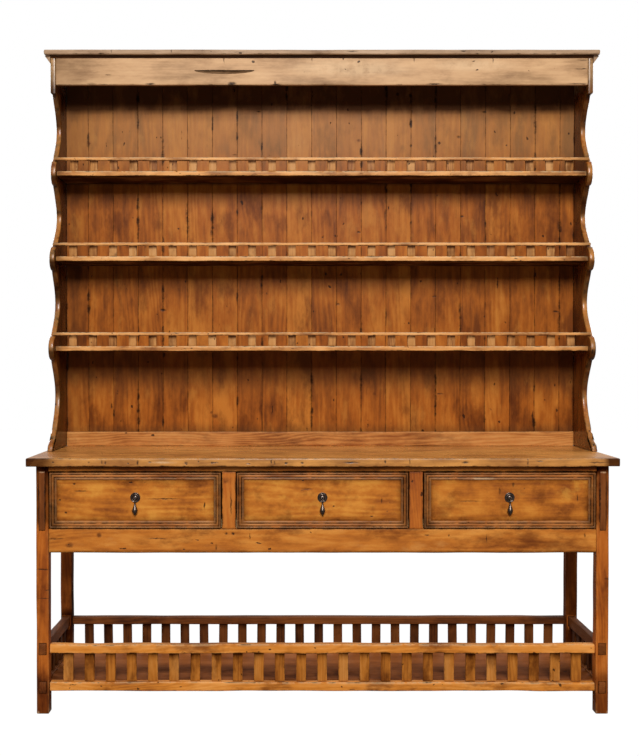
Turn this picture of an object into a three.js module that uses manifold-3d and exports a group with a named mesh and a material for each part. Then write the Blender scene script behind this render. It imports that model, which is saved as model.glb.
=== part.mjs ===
// Welsh dresser: a pot-board base with three drawers, and a plate rack standing loose on its top.
// Millimetres, +Z up, the front faces -Y. The origin is on the floor, under the middle of the rack.
import * as THREE from 'three';
import { mergeVertices } from 'three/addons/utils/BufferGeometryUtils.js';
import Module from 'manifold-3d';

const wasm = await Module();
wasm.setup();

// Clearances
const jointGap = 0.3;
const drawerGap = 3.5;
const cutOverrun = 5;

// Counter top
const counterWidth = 2032;
const counterDepth = 538;
const counterThickness = 29;
const counterHeight = 891;
const counterFrontOverhang = 40;
const counterBackOverhang = 63;
const counterEndOverhang = 25;

// The base stands a little to the left of the rack that was set down on it
const baseShift = 7;

// Legs
const legSize = 44;
const footEase = 4;
const stripWidth = 22;
const stripStand = 4;
const stripDrop = 4;

// Rails of the drawer frame
const topRailHeight = 20;
const topRailDepth = 40;
const openingHeight = 199;
const apronHeight = 83;
const apronThickness = 24;
const muntinWidth = 48;
const sideApronThickness = 22;
const backApronThickness = 22;
const sideApronSetIn = 5;

// Drawers
const drawerCount = 3;
const mouldingWidth = 20.5;
const mouldingThickness = 8;
const mouldingStand = 3;
const mouldingReedGroove = 2.4;
const mouldingEdge = 1.5;
const drawerSetIn = 6;
const drawerBackClearance = 26.3;
const drawerSideThickness = 12;
const drawerSideDrop = 21;
const drawerBottomThickness = 8;
const drawerBottomRaise = 6;
const runnerHeight = 22;
const runnerTread = 22;
const guideHeight = 20;
const guideClearance = 0.5;

// Drawer pulls
const rosetteRadius = 17.5;
const rosetteRim = 2;
const rosetteStepRadius = 12.5;
const rosetteStepHeight = 3.6;
const rosetteDomeRadius = 9;
const rosetteDomeHeight = 5.6;
const bossRadius = 5.5;
const bossHeight = 17;
const slotWidth = 4.4;
const slotFloor = 7;
const pinRadius = 1.2;
const pinStand = 12;
const pullRaise = 9;
const eyeRadius = 3.8;
const eyeHoleRadius = 1.7;
const stemThickness = 3.2;
const neckRadius = 2;
const neckDrop = 9;
const shoulderRadius = 3.6;
const shoulderDrop = 13;
const waistDrop = 19;
const bellyRadius = 9.6;
const bellyDrop = 44.5;
const heelRadius = 5;
const heelDrop = 53;
const tipRadius = 2.6;
const tipDrop = 59;
const dropLength = 63;

// Pot board and galleries
const lowerRailBottom = 76;
const lowerRailTop = 109;
const upperRailBottom = 211;
const upperRailTop = 241;
const railThickness = 30;
const sideRailThickness = 25;
const sideRailHeight = 40;
const tenonStand = 3;
const tenonEase = 1.5;
const potBoardThickness = 18;
const slatWidth = 32;
const slatThickness = 12;
const slatCount = 25;
const slatEndGap = 46;
const sideSlatCount = 5;
const slatTenon = 8;

// Plate rack
const rackSetIn = 6;
const rackSideThickness = 20;
const topBoardThickness = 18;
const topBoardOverhang = 20;
const returnHeight = 27;
const coveHeight = 9;
const coveDepth = 8;
const fasciaDrop = 126;
const fasciaThickness = 18;
const backBoardThickness = 10;
const plankWidth = 96.8;
const firstPlankWidth = 85.2;
const grooveWidth = 3;
const grooveDepth = 2.5;
const backRailHeight = 57;
const backRailThickness = 13;

// Shelves and their galleries, each bay measured from one top face up to the next
const shelfThickness = 19;
const counterBayHeight = 388;
const lowerBayHeight = 334;
const middleBayHeight = 320;
const upperBayHeight = 443;
const lowerShelfDepth = 218;
const middleShelfDepth = 208;
const upperShelfDepth = 186;
const galleryHeight = 51;
const galleryRailHeight = 11.5;
const galleryRailDepth = 18;
const blockCount = 26;
const blockWidth = 29;
const blockThickness = 12;
const blockEndGap = 50;
const blockTenon = 4;

// Shape of the rack's sides: depths are from the rack's back, heights from the shelf at each nose
const blockDepth = 196;
const blockDrop = 157;
const blockNeck = 165;
const upperHollowDepth = 98;
const upperNoseDepth = 199;
const upperNeckAbove = 161;
const upperNeckBelow = 159;
const middleHollowDepth = 101;
const middleNoseDepth = 228;
const middleNeckAbove = 172;
const middleNeckBelow = 186;
const lowerHollowDepth = 131;
const lowerNoseDepth = 249;
const lowerNeckAbove = 198;
const lowerNeckBelow = 204;
const footHollowDepth = 136.5;
const footNeckDepth = 198;
const footBeadDepth = 215;
const toeDepth = 273;
const noseRise = 38;
const noseDrop = 53;
const noseFrontDrop = 12;
const quirkStep = 12;
const footNeckHeight = 72;
const footBeadTop = 62;
const footBeadBottom = 44;
const toeEase = 10;

// How far along and across a curve its control points lie
const leaveDepthShare = 0.35;
const leaveHeightShare = 0.3;
const arriveHeightShare = 0.6;
const roundShare = 0.55;

const turnedSides = 20;
const postSides = 4;
const curveSteps = 5;

// Places worked out from the sizes above
const frontY = -counterDepth / 2 + counterFrontOverhang;
const rackBackY = counterDepth / 2;
const counterBottom = counterHeight - counterThickness;
const legOuter = counterWidth / 2 - counterEndOverhang;
const legInner = legOuter - legSize;
const legCentre = legOuter - legSize / 2;
const baseBackY = rackBackY - counterBackOverhang;
const legDepthSpread = baseBackY - frontY;
const rearLegY = baseBackY - legSize;
const drawerTop = counterBottom - topRailHeight;
const apronTop = drawerTop - openingHeight;
const apronBottom = apronTop - apronHeight;
const openingWidth = (2 * legInner - (drawerCount - 1) * muntinWidth) / drawerCount;
const openingStep = openingWidth + muntinWidth;
const frontWidth = openingWidth - 2 * drawerGap;
const frontBottom = apronTop + drawerGap;
const frontTop = drawerTop - drawerGap;
const fieldY = frontY - mouldingStand + mouldingThickness;
const drawerBoxY = frontY + apronThickness - jointGap;
const drawerBoxWidth = frontWidth - 2 * drawerSetIn;
const backApronY = rearLegY + legSize / 2 - backApronThickness / 2;
const drawerBoxDepth = backApronY - drawerBackClearance - drawerBoxY;
const drawerBoxBottom = frontBottom + drawerSetIn;
const drawerSideHeight = frontTop - drawerSideDrop - drawerBoxBottom;
const railCentreY = legSize / 2;
const slatPitch = (2 * legInner - 2 * slatEndGap - slatWidth) / (slatCount - 1);
const sideRailSpan = legDepthSpread - 2 * legSize;
const sideSlatPitch = (sideRailSpan + slatWidth) / (sideSlatCount + 1);
const rackOuter = counterWidth / 2 - rackSetIn;
const rackInner = rackOuter - rackSideThickness;
const lowerShelfTop = counterHeight + counterBayHeight;
const middleShelfTop = lowerShelfTop + lowerBayHeight;
const upperShelfTop = middleShelfTop + middleBayHeight;
const rackTop = upperShelfTop + upperBayHeight;
const blockBottom = rackTop - blockDrop;
const fasciaBottom = rackTop - fasciaDrop;
const shelfEnd = rackInner - jointGap;
const sideTop = rackTop - topBoardThickness - jointGap;
const backBoardY = rackBackY - backBoardThickness;
const blockPitch = (2 * rackInner - 2 * blockEndGap - blockWidth) / (blockCount - 1);

// Finishes
const wood = (colour, roughness) => new THREE.MeshStandardMaterial({ color: colour, roughness });
const legWood = wood('#8a4a1c', 0.42);
const topWood = wood('#a5682f', 0.32);
const frameWood = wood('#9a5a24', 0.4);
const drawerWood = wood('#a3632b', 0.38);
const galleryWood = wood('#94521f', 0.45);
const rackWood = wood('#a8703c', 0.42);
const corniceWood = wood('#b58452', 0.48);
const backWood = wood('#96592c', 0.5);
const innerWood = wood('#b08a58', 0.7);
const pullMetal = new THREE.MeshStandardMaterial({ color: '#2c2420', roughness: 0.45, metalness: 0.85 });

// One named sub-part, standing at its own place.
function piece(name, material, geometry, x = 0, y = 0, z = 0) {
  const mesh = new THREE.Mesh(geometry, material);
  mesh.name = name;
  mesh.position.set(x, y, z);
  return mesh;
}

// A squared board between two limits along each axis.
function board(name, material, [x0, x1], [y0, y1], [z0, z1]) {
  const geometry = new THREE.BoxGeometry(x1 - x0, y1 - y0, z1 - z0);
  return piece(name, material, geometry, (x0 + x1) / 2, (y0 + y1) / 2, (z0 + z1) / 2);
}

function block([x0, x1], [y0, y1], [z0, z1]) {
  const geometry = new THREE.BoxGeometry(x1 - x0, y1 - y0, z1 - z0);
  return geometry.translate((x0 + x1) / 2, (y0 + y1) / 2, (z0 + z1) / 2);
}

function solid(geometry) {
  const bare = geometry.clone();
  bare.deleteAttribute('normal');
  bare.deleteAttribute('uv');
  const merged = mergeVertices(bare);
  const triangles = new Uint32Array(merged.index.array);
  const places = merged.attributes.position.array;
  return new wasm.Manifold(new wasm.Mesh({ numProp: 3, vertProperties: places, triVerts: triangles }));
}

function surface(manifold) {
  const mesh = manifold.getMesh();
  const geometry = new THREE.BufferGeometry();
  geometry.setAttribute('position', new THREE.BufferAttribute(mesh.vertProperties, 3));
  geometry.setIndex(new THREE.BufferAttribute(mesh.triVerts, 1));
  geometry.computeVertexNormals();
  return geometry;
}

function joined(geometries) {
  return surface(geometries.map(solid).reduce((whole, next) => whole.add(next)));
}

function cutFrom(geometry, cutters) {
  return surface(cutters.map(solid).reduce((whole, next) => whole.subtract(next), solid(geometry)));
}

// An outline drawn in depth and height, given a thickness across the dresser.
function sideways(shape, thickness) {
  const options = { depth: thickness, bevelEnabled: false, curveSegments: curveSteps };
  const geometry = new THREE.ExtrudeGeometry(shape, options);
  const alongX = new THREE.Vector3(1, 0, 0);
  const alongY = new THREE.Vector3(0, 1, 0);
  const alongZ = new THREE.Vector3(0, 0, 1);
  return geometry.applyMatrix4(new THREE.Matrix4().makeBasis(alongY, alongZ, alongX));
}

function outline(points) {
  return new THREE.Shape(points.map(([across, up]) => new THREE.Vector2(across, up)));
}

// A square post turned about Z, with its foot eased on all four sides.
function postGeometry(height) {
  const corner = (legSize / 2) * Math.SQRT2;
  const easedCorner = (legSize / 2 - footEase) * Math.SQRT2;
  const profile = [
    new THREE.Vector2(0, 0),
    new THREE.Vector2(easedCorner, 0),
    new THREE.Vector2(corner, footEase),
    new THREE.Vector2(corner, height),
    new THREE.Vector2(0, height),
  ];
  const geometry = new THREE.LatheGeometry(profile, postSides);
  return geometry.rotateX(Math.PI / 2).rotateZ(Math.PI / 4);
}

// The side rails' tenons run right through each leg.
function mortise(railBottom) {
  const reach = sideRailThickness / 2 + jointGap;
  const through = legSize / 2 + cutOverrun;
  const heights = [railBottom - jointGap, railBottom + sideRailHeight + jointGap];
  return block([-reach, reach], [-through, through], heights);
}

const upperSideRailBottom = (upperRailBottom + upperRailTop - sideRailHeight) / 2;
const lowerSideRailBottom = (lowerRailBottom + lowerRailTop - sideRailHeight) / 2;

function legs() {
  const height = counterBottom - jointGap;
  const mortises = [mortise(upperSideRailBottom), mortise(lowerSideRailBottom)];
  const geometry = cutFrom(postGeometry(height), mortises);
  const frontLegY = frontY + legSize / 2;
  const backLegY = baseBackY - legSize / 2;
  return [
    piece('leg_front_left', legWood, geometry, -legCentre, frontLegY),
    piece('leg_front_right', legWood, geometry, legCentre, frontLegY),
    piece('leg_rear_left', legWood, geometry, -legCentre, backLegY),
    piece('leg_rear_right', legWood, geometry, legCentre, backLegY),
  ];
}

function postStrip(name, side) {
  const middle = side * legCentre;
  const width = [middle - stripWidth / 2, middle + stripWidth / 2];
  const depth = [frontY - jointGap - stripStand, frontY - jointGap];
  return board(name, legWood, width, depth, [apronTop - stripDrop, drawerTop]);
}

function counterTop() {
  const width = [-counterWidth / 2, counterWidth / 2];
  const depth = [-counterDepth / 2, counterDepth / 2];
  return board('counter_top', topWood, width, depth, [counterBottom, counterHeight]);
}

function frame() {
  const width = [-legInner + jointGap, legInner - jointGap];
  const middle = openingWidth / 2 + muntinWidth / 2;
  const muntin = (name, x) => board(name, frameWood, [x - muntinWidth / 2, x + muntinWidth / 2],
    [frontY, frontY + apronThickness], [apronTop + jointGap, drawerTop - jointGap]);
  const topRail = board('top_rail', frameWood, width, [frontY, frontY + topRailDepth],
    [drawerTop, counterBottom - jointGap]);
  const apronRail = board('apron_rail', frameWood, width, [frontY, frontY + apronThickness],
    [apronBottom, apronTop]);
  return [topRail, apronRail, muntin('muntin_left', -middle), muntin('muntin_right', middle)];
}

function sideApron(name, side) {
  const outer = side * (legOuter - sideApronSetIn);
  const inner = outer - side * sideApronThickness;
  const width = side > 0 ? [inner, outer] : [outer, inner];
  const depth = [frontY + legSize + jointGap, rearLegY - jointGap];
  return board(name, frameWood, width, depth, [apronBottom, counterBottom - jointGap]);
}

function backApron() {
  const width = [-legInner + jointGap, legInner - jointGap];
  const depth = [backApronY, backApronY + backApronThickness];
  return board('back_apron', frameWood, width, depth, [apronBottom, counterBottom - jointGap]);
}

// A runner carries the drawer sides on its treads, and the guide above keeps them straight.
const runnerTop = drawerBoxBottom - jointGap;
const runnerDepth = [frontY + apronThickness + jointGap, backApronY - jointGap];
const guideReach = drawerGap + drawerSetIn - guideClearance;

function middleRunner(name, x) {
  const guide = muntinWidth / 2 + guideReach;
  const tread = guide + runnerTread;
  const section = outline([
    [-tread, -runnerHeight], [tread, -runnerHeight], [tread, 0], [guide, 0],
    [guide, guideHeight], [-guide, guideHeight], [-guide, 0], [-tread, 0],
  ]);
  return piece(name, innerWood, alongDepth(section), x, runnerDepth[0], runnerTop);
}

function endRunner(name, side) {
  const tread = side * (guideReach + runnerTread);
  const guide = side * guideReach;
  const section = outline([
    [0, -runnerHeight], [tread, -runnerHeight], [tread, 0], [guide, 0],
    [guide, guideHeight], [0, guideHeight],
  ]);
  const x = -side * (legInner - jointGap);
  return piece(name, innerWood, alongDepth(section), x, runnerDepth[0], runnerTop);
}

// An outline drawn in width and height, run back along the runner's length.
function alongDepth(shape) {
  const length = runnerDepth[1] - runnerDepth[0];
  const geometry = new THREE.ExtrudeGeometry(shape, { depth: length, bevelEnabled: false });
  return geometry.rotateX(Math.PI / 2).translate(0, length, 0);
}

function runners() {
  const middle = openingWidth / 2 + muntinWidth / 2;
  return [
    endRunner('drawer_runner_left', 1),
    middleRunner('drawer_runner_mid_left', -middle),
    middleRunner('drawer_runner_mid_right', middle),
    endRunner('drawer_runner_right', -1),
  ];
}

// The pot board lies between the lower rails and is notched round the legs.
function potBoard() {
  const wide = legCentre - sideRailThickness / 2 - jointGap;
  const narrow = legInner - jointGap;
  const front = frontY + railCentreY + railThickness / 2 + jointGap;
  const back = baseBackY - railCentreY - railThickness / 2 - jointGap;
  const frontNotch = frontY + legSize + jointGap;
  const backNotch = rearLegY - jointGap;
  const shape = outline([
    [-narrow, front], [narrow, front], [narrow, frontNotch], [wide, frontNotch],
    [wide, backNotch], [narrow, backNotch], [narrow, back], [-narrow, back],
    [-narrow, backNotch], [-wide, backNotch], [-wide, frontNotch], [-narrow, frontNotch],
  ]);
  const geometry = new THREE.ExtrudeGeometry(shape, { depth: potBoardThickness, bevelEnabled: false });
  return piece('pot_board', topWood, geometry, 0, 0, lowerRailTop - potBoardThickness);
}

// A row of upright slats around the middle of a rail, tenoned up into it and hanging down by a drop.
function slatRow(count, pitch, drop) {
  return Array.from({ length: count }, (_, index) => {
    const x = (index - (count - 1) / 2) * pitch;
    const width = [x - slatWidth / 2, x + slatWidth / 2];
    return block(width, [-slatThickness / 2, slatThickness / 2], [-drop, slatTenon]);
  });
}

function frontGallery(where, centreY) {
  const width = [-legInner + jointGap, legInner - jointGap];
  const depth = [centreY - railThickness / 2, centreY + railThickness / 2];
  const lower = board(`gallery_${where}_lower_rail`, galleryWood, width, depth,
    [lowerRailBottom, lowerRailTop]);
  const drop = upperRailBottom - lowerRailTop - jointGap;
  const rail = block(width, [-railThickness / 2, railThickness / 2], [0, upperRailTop - upperRailBottom]);
  const upper = joined([rail, ...slatRow(slatCount, slatPitch, drop)]);
  return [lower, piece(`gallery_${where}_upper_rail`, galleryWood, upper, 0, centreY, upperRailBottom)];
}

// A side rail and its tenons are one stick, through both legs, with its ends eased.
function tenonedRail() {
  const half = legDepthSpread / 2 + tenonStand;
  const wide = sideRailThickness / 2;
  const narrow = wide - tenonEase;
  const shape = outline([
    [-half, -narrow], [-half + tenonEase, -wide], [half - tenonEase, -wide], [half, -narrow],
    [half, narrow], [half - tenonEase, wide], [-half + tenonEase, wide], [-half, narrow],
  ]);
  return new THREE.ExtrudeGeometry(shape, { depth: sideRailHeight, bevelEnabled: false });
}

function sideGallery(where, side) {
  const centreY = (frontY + baseBackY) / 2;
  const drop = upperSideRailBottom - lowerSideRailBottom - sideRailHeight - jointGap;
  const slats = slatRow(sideSlatCount, sideSlatPitch, drop);
  const lower = piece(`gallery_${where}_lower_rail`, galleryWood, tenonedRail());
  const upper = piece(`gallery_${where}_upper_rail`, galleryWood, joined([tenonedRail(), ...slats]));
  lower.position.set(side * legCentre, centreY, lowerSideRailBottom);
  upper.position.set(side * legCentre, centreY, upperSideRailBottom);
  lower.rotation.z = Math.PI / 2;
  upper.rotation.z = Math.PI / 2;
  return [lower, upper];
}

// The applied moulding is a mitred frame: a flat outer edge, then two reeds with a groove between.
function mouldingGeometry() {
  const reed = (mouldingWidth - mouldingReedGroove) / 2;
  const face = mouldingThickness;
  const low = mouldingThickness - mouldingReedGroove;
  const profile = [
    [0, 0], [0, face - mouldingEdge], [mouldingEdge, face], [reed - mouldingEdge, face], [reed, low],
    [reed + mouldingReedGroove, low], [reed + mouldingReedGroove + mouldingEdge, face - mouldingEdge],
    [mouldingWidth - mouldingEdge, face - mouldingEdge], [mouldingWidth, mouldingEdge], [mouldingWidth, 0],
  ];
  const halfWide = frontWidth / 2;
  const halfHigh = (frontTop - frontBottom) / 2;
  const corners = [[-1, -1], [1, -1], [1, 1], [-1, 1]];
  const places = [];
  const faces = [];
  corners.forEach(([right, up]) => profile.forEach(([inset, stand]) => {
    places.push(right * (halfWide - inset), -stand, up * (halfHigh - inset));
  }));
  corners.forEach((_, corner) => profile.forEach((__, point) => {
    const nextPoint = (point + 1) % profile.length;
    const here = corner * profile.length;
    const there = ((corner + 1) % corners.length) * profile.length;
    faces.push(here + point, there + nextPoint, here + nextPoint);
    faces.push(here + point, there + point, there + nextPoint);
  }));
  const geometry = new THREE.BufferGeometry();
  geometry.setAttribute('position', new THREE.Float32BufferAttribute(places, 3));
  geometry.setIndex(faces);
  geometry.computeVertexNormals();
  return geometry;
}

function turned(profile) {
  const points = profile.map(([radius, along]) => new THREE.Vector2(radius, along));
  return new THREE.LatheGeometry(points, turnedSides);
}

function rod(radius, length) {
  return new THREE.CylinderGeometry(radius, radius, length, turnedSides).rotateZ(Math.PI / 2);
}

// The rosette is a stepped dome with a forked boss, and a pin across the fork.
function rosetteGeometry() {
  const dome = turned([
    [0, 0], [rosetteRadius, 0], [rosetteRadius, rosetteRim], [rosetteStepRadius, rosetteStepHeight],
    [rosetteDomeRadius, rosetteStepHeight], [bossRadius, rosetteDomeHeight], [bossRadius, bossHeight],
    [0, bossHeight],
  ]).rotateX(Math.PI);
  const slotDepth = [-bossHeight - cutOverrun, -slotFloor];
  const slot = block([-slotWidth / 2, slotWidth / 2], slotDepth, [-rosetteRadius, rosetteRadius]);
  const pin = rod(pinRadius, 2 * bossRadius - 2 * pinRadius).translate(0, -pinStand, 0);
  return surface(solid(dome).subtract(solid(slot)).add(solid(pin)));
}

// The drop hangs by its eye: a flat stem that swells into a turned teardrop with a small tip.
function dropGeometry() {
  const pear = turned([
    [0, -neckDrop], [neckRadius, -neckDrop], [shoulderRadius, -shoulderDrop], [neckRadius, -waistDrop],
    [bellyRadius, -bellyDrop], [heelRadius, -heelDrop], [tipRadius, -heelDrop], [tipRadius, -tipDrop],
    [0, -dropLength],
  ].reverse()).rotateX(Math.PI / 2);
  const stemHeights = [-shoulderDrop, -eyeHoleRadius - pinRadius];
  const stem = block([-stemThickness / 2, stemThickness / 2], [-neckRadius, neckRadius], stemHeights);
  const eye = solid(rod(eyeRadius, stemThickness));
  const hole = solid(rod(eyeHoleRadius, stemThickness + 2 * cutOverrun));
  return surface(eye.add(solid(stem)).add(solid(pear)).subtract(hole));
}

// The three sides of a drawer box, dovetailed into one open frame behind the front.
function drawerBoxGeometry() {
  const outer = drawerBoxWidth / 2;
  const inner = outer - drawerSideThickness;
  const back = drawerBoxDepth;
  const shape = outline([
    [-outer, jointGap], [-inner, jointGap], [-inner, back - drawerSideThickness],
    [inner, back - drawerSideThickness], [inner, jointGap],
    [outer, jointGap], [outer, back], [-outer, back],
  ]);
  return new THREE.ExtrudeGeometry(shape, { depth: drawerSideHeight, bevelEnabled: false });
}

function drawer(where, x) {
  const middle = (frontBottom + frontTop) / 2;
  const name = (part) => `drawer_${where}_${part}`;
  const half = frontWidth / 2;
  const front = board(name('front'), drawerWood, [x - half, x + half], [fieldY, drawerBoxY],
    [frontBottom, frontTop]);
  const inner = drawerBoxWidth / 2 - drawerSideThickness - jointGap;
  const floor = drawerBoxBottom + drawerBottomRaise;
  const boxBack = drawerBoxY + drawerBoxDepth - drawerSideThickness;
  return [
    front,
    piece(name('moulding'), drawerWood, mouldingGeometry(), x, fieldY - jointGap, middle),
    piece(name('box'), innerWood, drawerBoxGeometry(), x, drawerBoxY, drawerBoxBottom),
    board(name('bottom'), innerWood, [x - inner, x + inner], [drawerBoxY + jointGap, boxBack - jointGap],
      [floor, floor + drawerBottomThickness]),
    piece(name('rosette'), pullMetal, rosetteGeometry(), x, fieldY - jointGap, middle + pullRaise),
    piece(name('drop'), pullMetal, dropGeometry(), x, fieldY - jointGap - pinStand, middle + pullRaise),
  ];
}

// One hollow of the rack's side, from the point reached so far to the next neck.
function hollow(shape, from, deepest, to) {
  const [fromDepth, fromHeight] = from;
  const [toDepth, toHeight] = to;
  const middle = (fromHeight + toHeight) / 2;
  const mix = THREE.MathUtils.lerp;
  shape.bezierCurveTo(
    -mix(fromDepth, deepest, leaveDepthShare), mix(fromHeight, middle, leaveHeightShare),
    -deepest, mix(fromHeight, middle, arriveHeightShare), -deepest, middle);
  shape.bezierCurveTo(
    -deepest, mix(toHeight, middle, arriveHeightShare),
    -mix(toDepth, deepest, leaveDepthShare), mix(toHeight, middle, leaveHeightShare), -toDepth, toHeight);
}

// One rounded nose beside a shelf, with a small step above and below it.
function nose(shape, shelfTop, front, neckAbove, neckBelow) {
  const top = shelfTop + noseRise;
  const bottom = shelfTop - noseDrop;
  const crown = shelfTop - noseFrontDrop;
  const topDepth = neckAbove + quirkStep;
  const bottomDepth = neckBelow + quirkStep / 2;
  const mix = THREE.MathUtils.lerp;
  shape.lineTo(-topDepth, top);
  shape.bezierCurveTo(
    -mix(topDepth, front, roundShare), top,
    -front, mix(crown, top, roundShare), -front, crown);
  shape.bezierCurveTo(
    -front, mix(crown, bottom, roundShare),
    -mix(bottomDepth, front, roundShare), bottom, -bottomDepth, bottom);
  shape.lineTo(-neckBelow, bottom);
}

function rackSideShape() {
  const top = sideTop - counterHeight - jointGap;
  const above = (height) => height - counterHeight - jointGap;
  const neckTop = (shelfTop) => above(shelfTop) + noseRise + quirkStep;
  const neckFoot = (shelfTop) => above(shelfTop) - noseDrop;
  const shape = new THREE.Shape();
  shape.moveTo(0, 0);
  shape.lineTo(0, top);
  shape.lineTo(-blockDepth, top);
  shape.lineTo(-blockDepth, above(blockBottom));
  shape.lineTo(-blockNeck, above(blockBottom));
  const upperTop = [upperNeckAbove, neckTop(upperShelfTop)];
  hollow(shape, [blockNeck, above(blockBottom)], upperHollowDepth, upperTop);
  nose(shape, above(upperShelfTop), upperNoseDepth, upperNeckAbove, upperNeckBelow);
  const middleTop = [middleNeckAbove, neckTop(middleShelfTop)];
  hollow(shape, [upperNeckBelow, neckFoot(upperShelfTop)], middleHollowDepth, middleTop);
  nose(shape, above(middleShelfTop), middleNoseDepth, middleNeckAbove, middleNeckBelow);
  const lowerTop = [lowerNeckAbove, neckTop(lowerShelfTop)];
  hollow(shape, [middleNeckBelow, neckFoot(middleShelfTop)], lowerHollowDepth, lowerTop);
  nose(shape, above(lowerShelfTop), lowerNoseDepth, lowerNeckAbove, lowerNeckBelow);
  const footNeck = [footNeckDepth, footNeckHeight];
  hollow(shape, [lowerNeckBelow, neckFoot(lowerShelfTop)], footHollowDepth, footNeck);
  shape.lineTo(-footBeadDepth, footBeadTop);
  shape.lineTo(-footBeadDepth, footBeadBottom);
  shape.quadraticCurveTo(-toeDepth + toeEase, footBeadBottom - toeEase, -toeDepth + toeEase / 2, toeEase);
  shape.lineTo(-toeDepth, 0);
  return shape;
}

function rackSides() {
  const shape = rackSideShape();
  const foot = counterHeight + jointGap;
  const geometry = sideways(shape, rackSideThickness);
  return [
    piece('rack_side_left', rackWood, geometry, -rackOuter, rackBackY, foot),
    piece('rack_side_right', rackWood, geometry, rackInner, rackBackY, foot),
  ];
}

const blockFrontY = rackBackY - blockDepth;
const topBoardBottom = rackTop - topBoardThickness;

function topBoard() {
  const reach = rackOuter + topBoardOverhang;
  return board('rack_top_board', corniceWood, [-reach, reach],
    [blockFrontY - topBoardOverhang, rackBackY], [topBoardBottom, rackTop]);
}

// A short cove under the front of the top board.
function corniceCove() {
  const width = 2 * rackOuter;
  const middle = coveDepth * (1 - Math.SQRT1_2);
  const shape = outline([
    [0, 0], [0, coveHeight], [-coveDepth, coveHeight],
    [-middle, coveHeight - coveHeight * (1 - Math.SQRT1_2)],
  ]);
  const front = blockFrontY - jointGap;
  const bottom = topBoardBottom - jointGap - coveHeight;
  return piece('cornice_cove', corniceWood, sideways(shape, width), -rackOuter, front, bottom);
}

// A splayed moulding along each side, under the overhang of the top board.
function corniceReturn(name, side) {
  const reach = side * topBoardOverhang;
  const points = [[0, 0], [reach, returnHeight], [0, returnHeight]];
  const shape = outline(side > 0 ? points : points.reverse());
  const length = blockDepth;
  const geometry = new THREE.ExtrudeGeometry(shape, { depth: length, bevelEnabled: false });
  geometry.rotateX(Math.PI / 2).translate(0, length, 0);
  const bottom = topBoardBottom - jointGap - returnHeight;
  return piece(name, corniceWood, geometry, side * (rackOuter + jointGap), blockFrontY, bottom);
}

function fascia() {
  return board('fascia', corniceWood, [-shelfEnd, shelfEnd],
    [blockFrontY, blockFrontY + fasciaThickness], [fasciaBottom, topBoardBottom - jointGap]);
}

function shelf(name, top, depth) {
  return board(name, rackWood, [-shelfEnd, shelfEnd],
    [rackBackY - depth, backBoardY - jointGap], [top - shelfThickness, top]);
}

// The gallery rail stands on a row of small blocks along the front of its shelf.
function shelfGallery(name, top, depth) {
  const under = galleryHeight - galleryRailHeight - jointGap;
  const railBack = galleryRailDepth / 2;
  const rail = block([-shelfEnd, shelfEnd], [-railBack, railBack], [under, under + galleryRailHeight]);
  const blocks = Array.from({ length: blockCount }, (_, index) => {
    const x = (index - (blockCount - 1) / 2) * blockPitch;
    const width = [x - blockWidth / 2, x + blockWidth / 2];
    return block(width, [-blockThickness / 2, blockThickness / 2], [0, under + blockTenon]);
  });
  const centreY = rackBackY - depth + galleryRailDepth / 2;
  return piece(name, galleryWood, joined([rail, ...blocks]), 0, centreY, top + jointGap);
}

// The back is a row of upright planks; a narrow groove marks each joint on the front face.
function backBoards() {
  const width = 2 * shelfEnd;
  const shape = new THREE.Shape();
  shape.moveTo(0, 0);
  for (let joint = firstPlankWidth; joint < width - grooveWidth; joint += plankWidth) {
    shape.lineTo(joint - grooveWidth / 2, 0);
    shape.lineTo(joint, grooveDepth);
    shape.lineTo(joint + grooveWidth / 2, 0);
  }
  shape.lineTo(width, 0);
  shape.lineTo(width, backBoardThickness);
  shape.lineTo(0, backBoardThickness);
  const height = sideTop - counterHeight - jointGap;
  const geometry = new THREE.ExtrudeGeometry(shape, { depth: height, bevelEnabled: false });
  return piece('back_boards', backWood, geometry, -shelfEnd, backBoardY, counterHeight + jointGap);
}

function backRail() {
  const back = backBoardY - jointGap;
  return board('back_rail', rackWood, [-shelfEnd, shelfEnd],
    [back - backRailThickness, back], [counterHeight + jointGap, counterHeight + backRailHeight]);
}

const base = new THREE.Group();
base.position.x = -baseShift;
base.add(
  ...legs(), postStrip('post_strip_left', -1), postStrip('post_strip_right', 1), counterTop(), ...frame(),
  sideApron('side_apron_left', -1), sideApron('side_apron_right', 1), backApron(), ...runners(), potBoard(),
  ...frontGallery('front', frontY + railCentreY), ...frontGallery('rear', baseBackY - railCentreY),
  ...sideGallery('left', -1), ...sideGallery('right', 1),
  ...drawer('left', -openingStep), ...drawer('middle', 0), ...drawer('right', openingStep),
);

const rack = new THREE.Group();
rack.add(
  ...rackSides(), topBoard(), corniceCove(), corniceReturn('cornice_return_left', -1),
  corniceReturn('cornice_return_right', 1), fascia(), backBoards(), backRail(),
  shelf('shelf_lower', lowerShelfTop, lowerShelfDepth),
  shelf('shelf_middle', middleShelfTop, middleShelfDepth),
  shelf('shelf_upper', upperShelfTop, upperShelfDepth),
  shelfGallery('shelf_gallery_lower', lowerShelfTop, lowerShelfDepth),
  shelfGallery('shelf_gallery_middle', middleShelfTop, middleShelfDepth),
  shelfGallery('shelf_gallery_upper', upperShelfTop, upperShelfDepth),
);

const dresser = new THREE.Group();
dresser.add(base, rack);

export default dresser;
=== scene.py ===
import math
from functools import partial

import bmesh
import bpy
from mathutils import Euler, Matrix, Vector, noise


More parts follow.
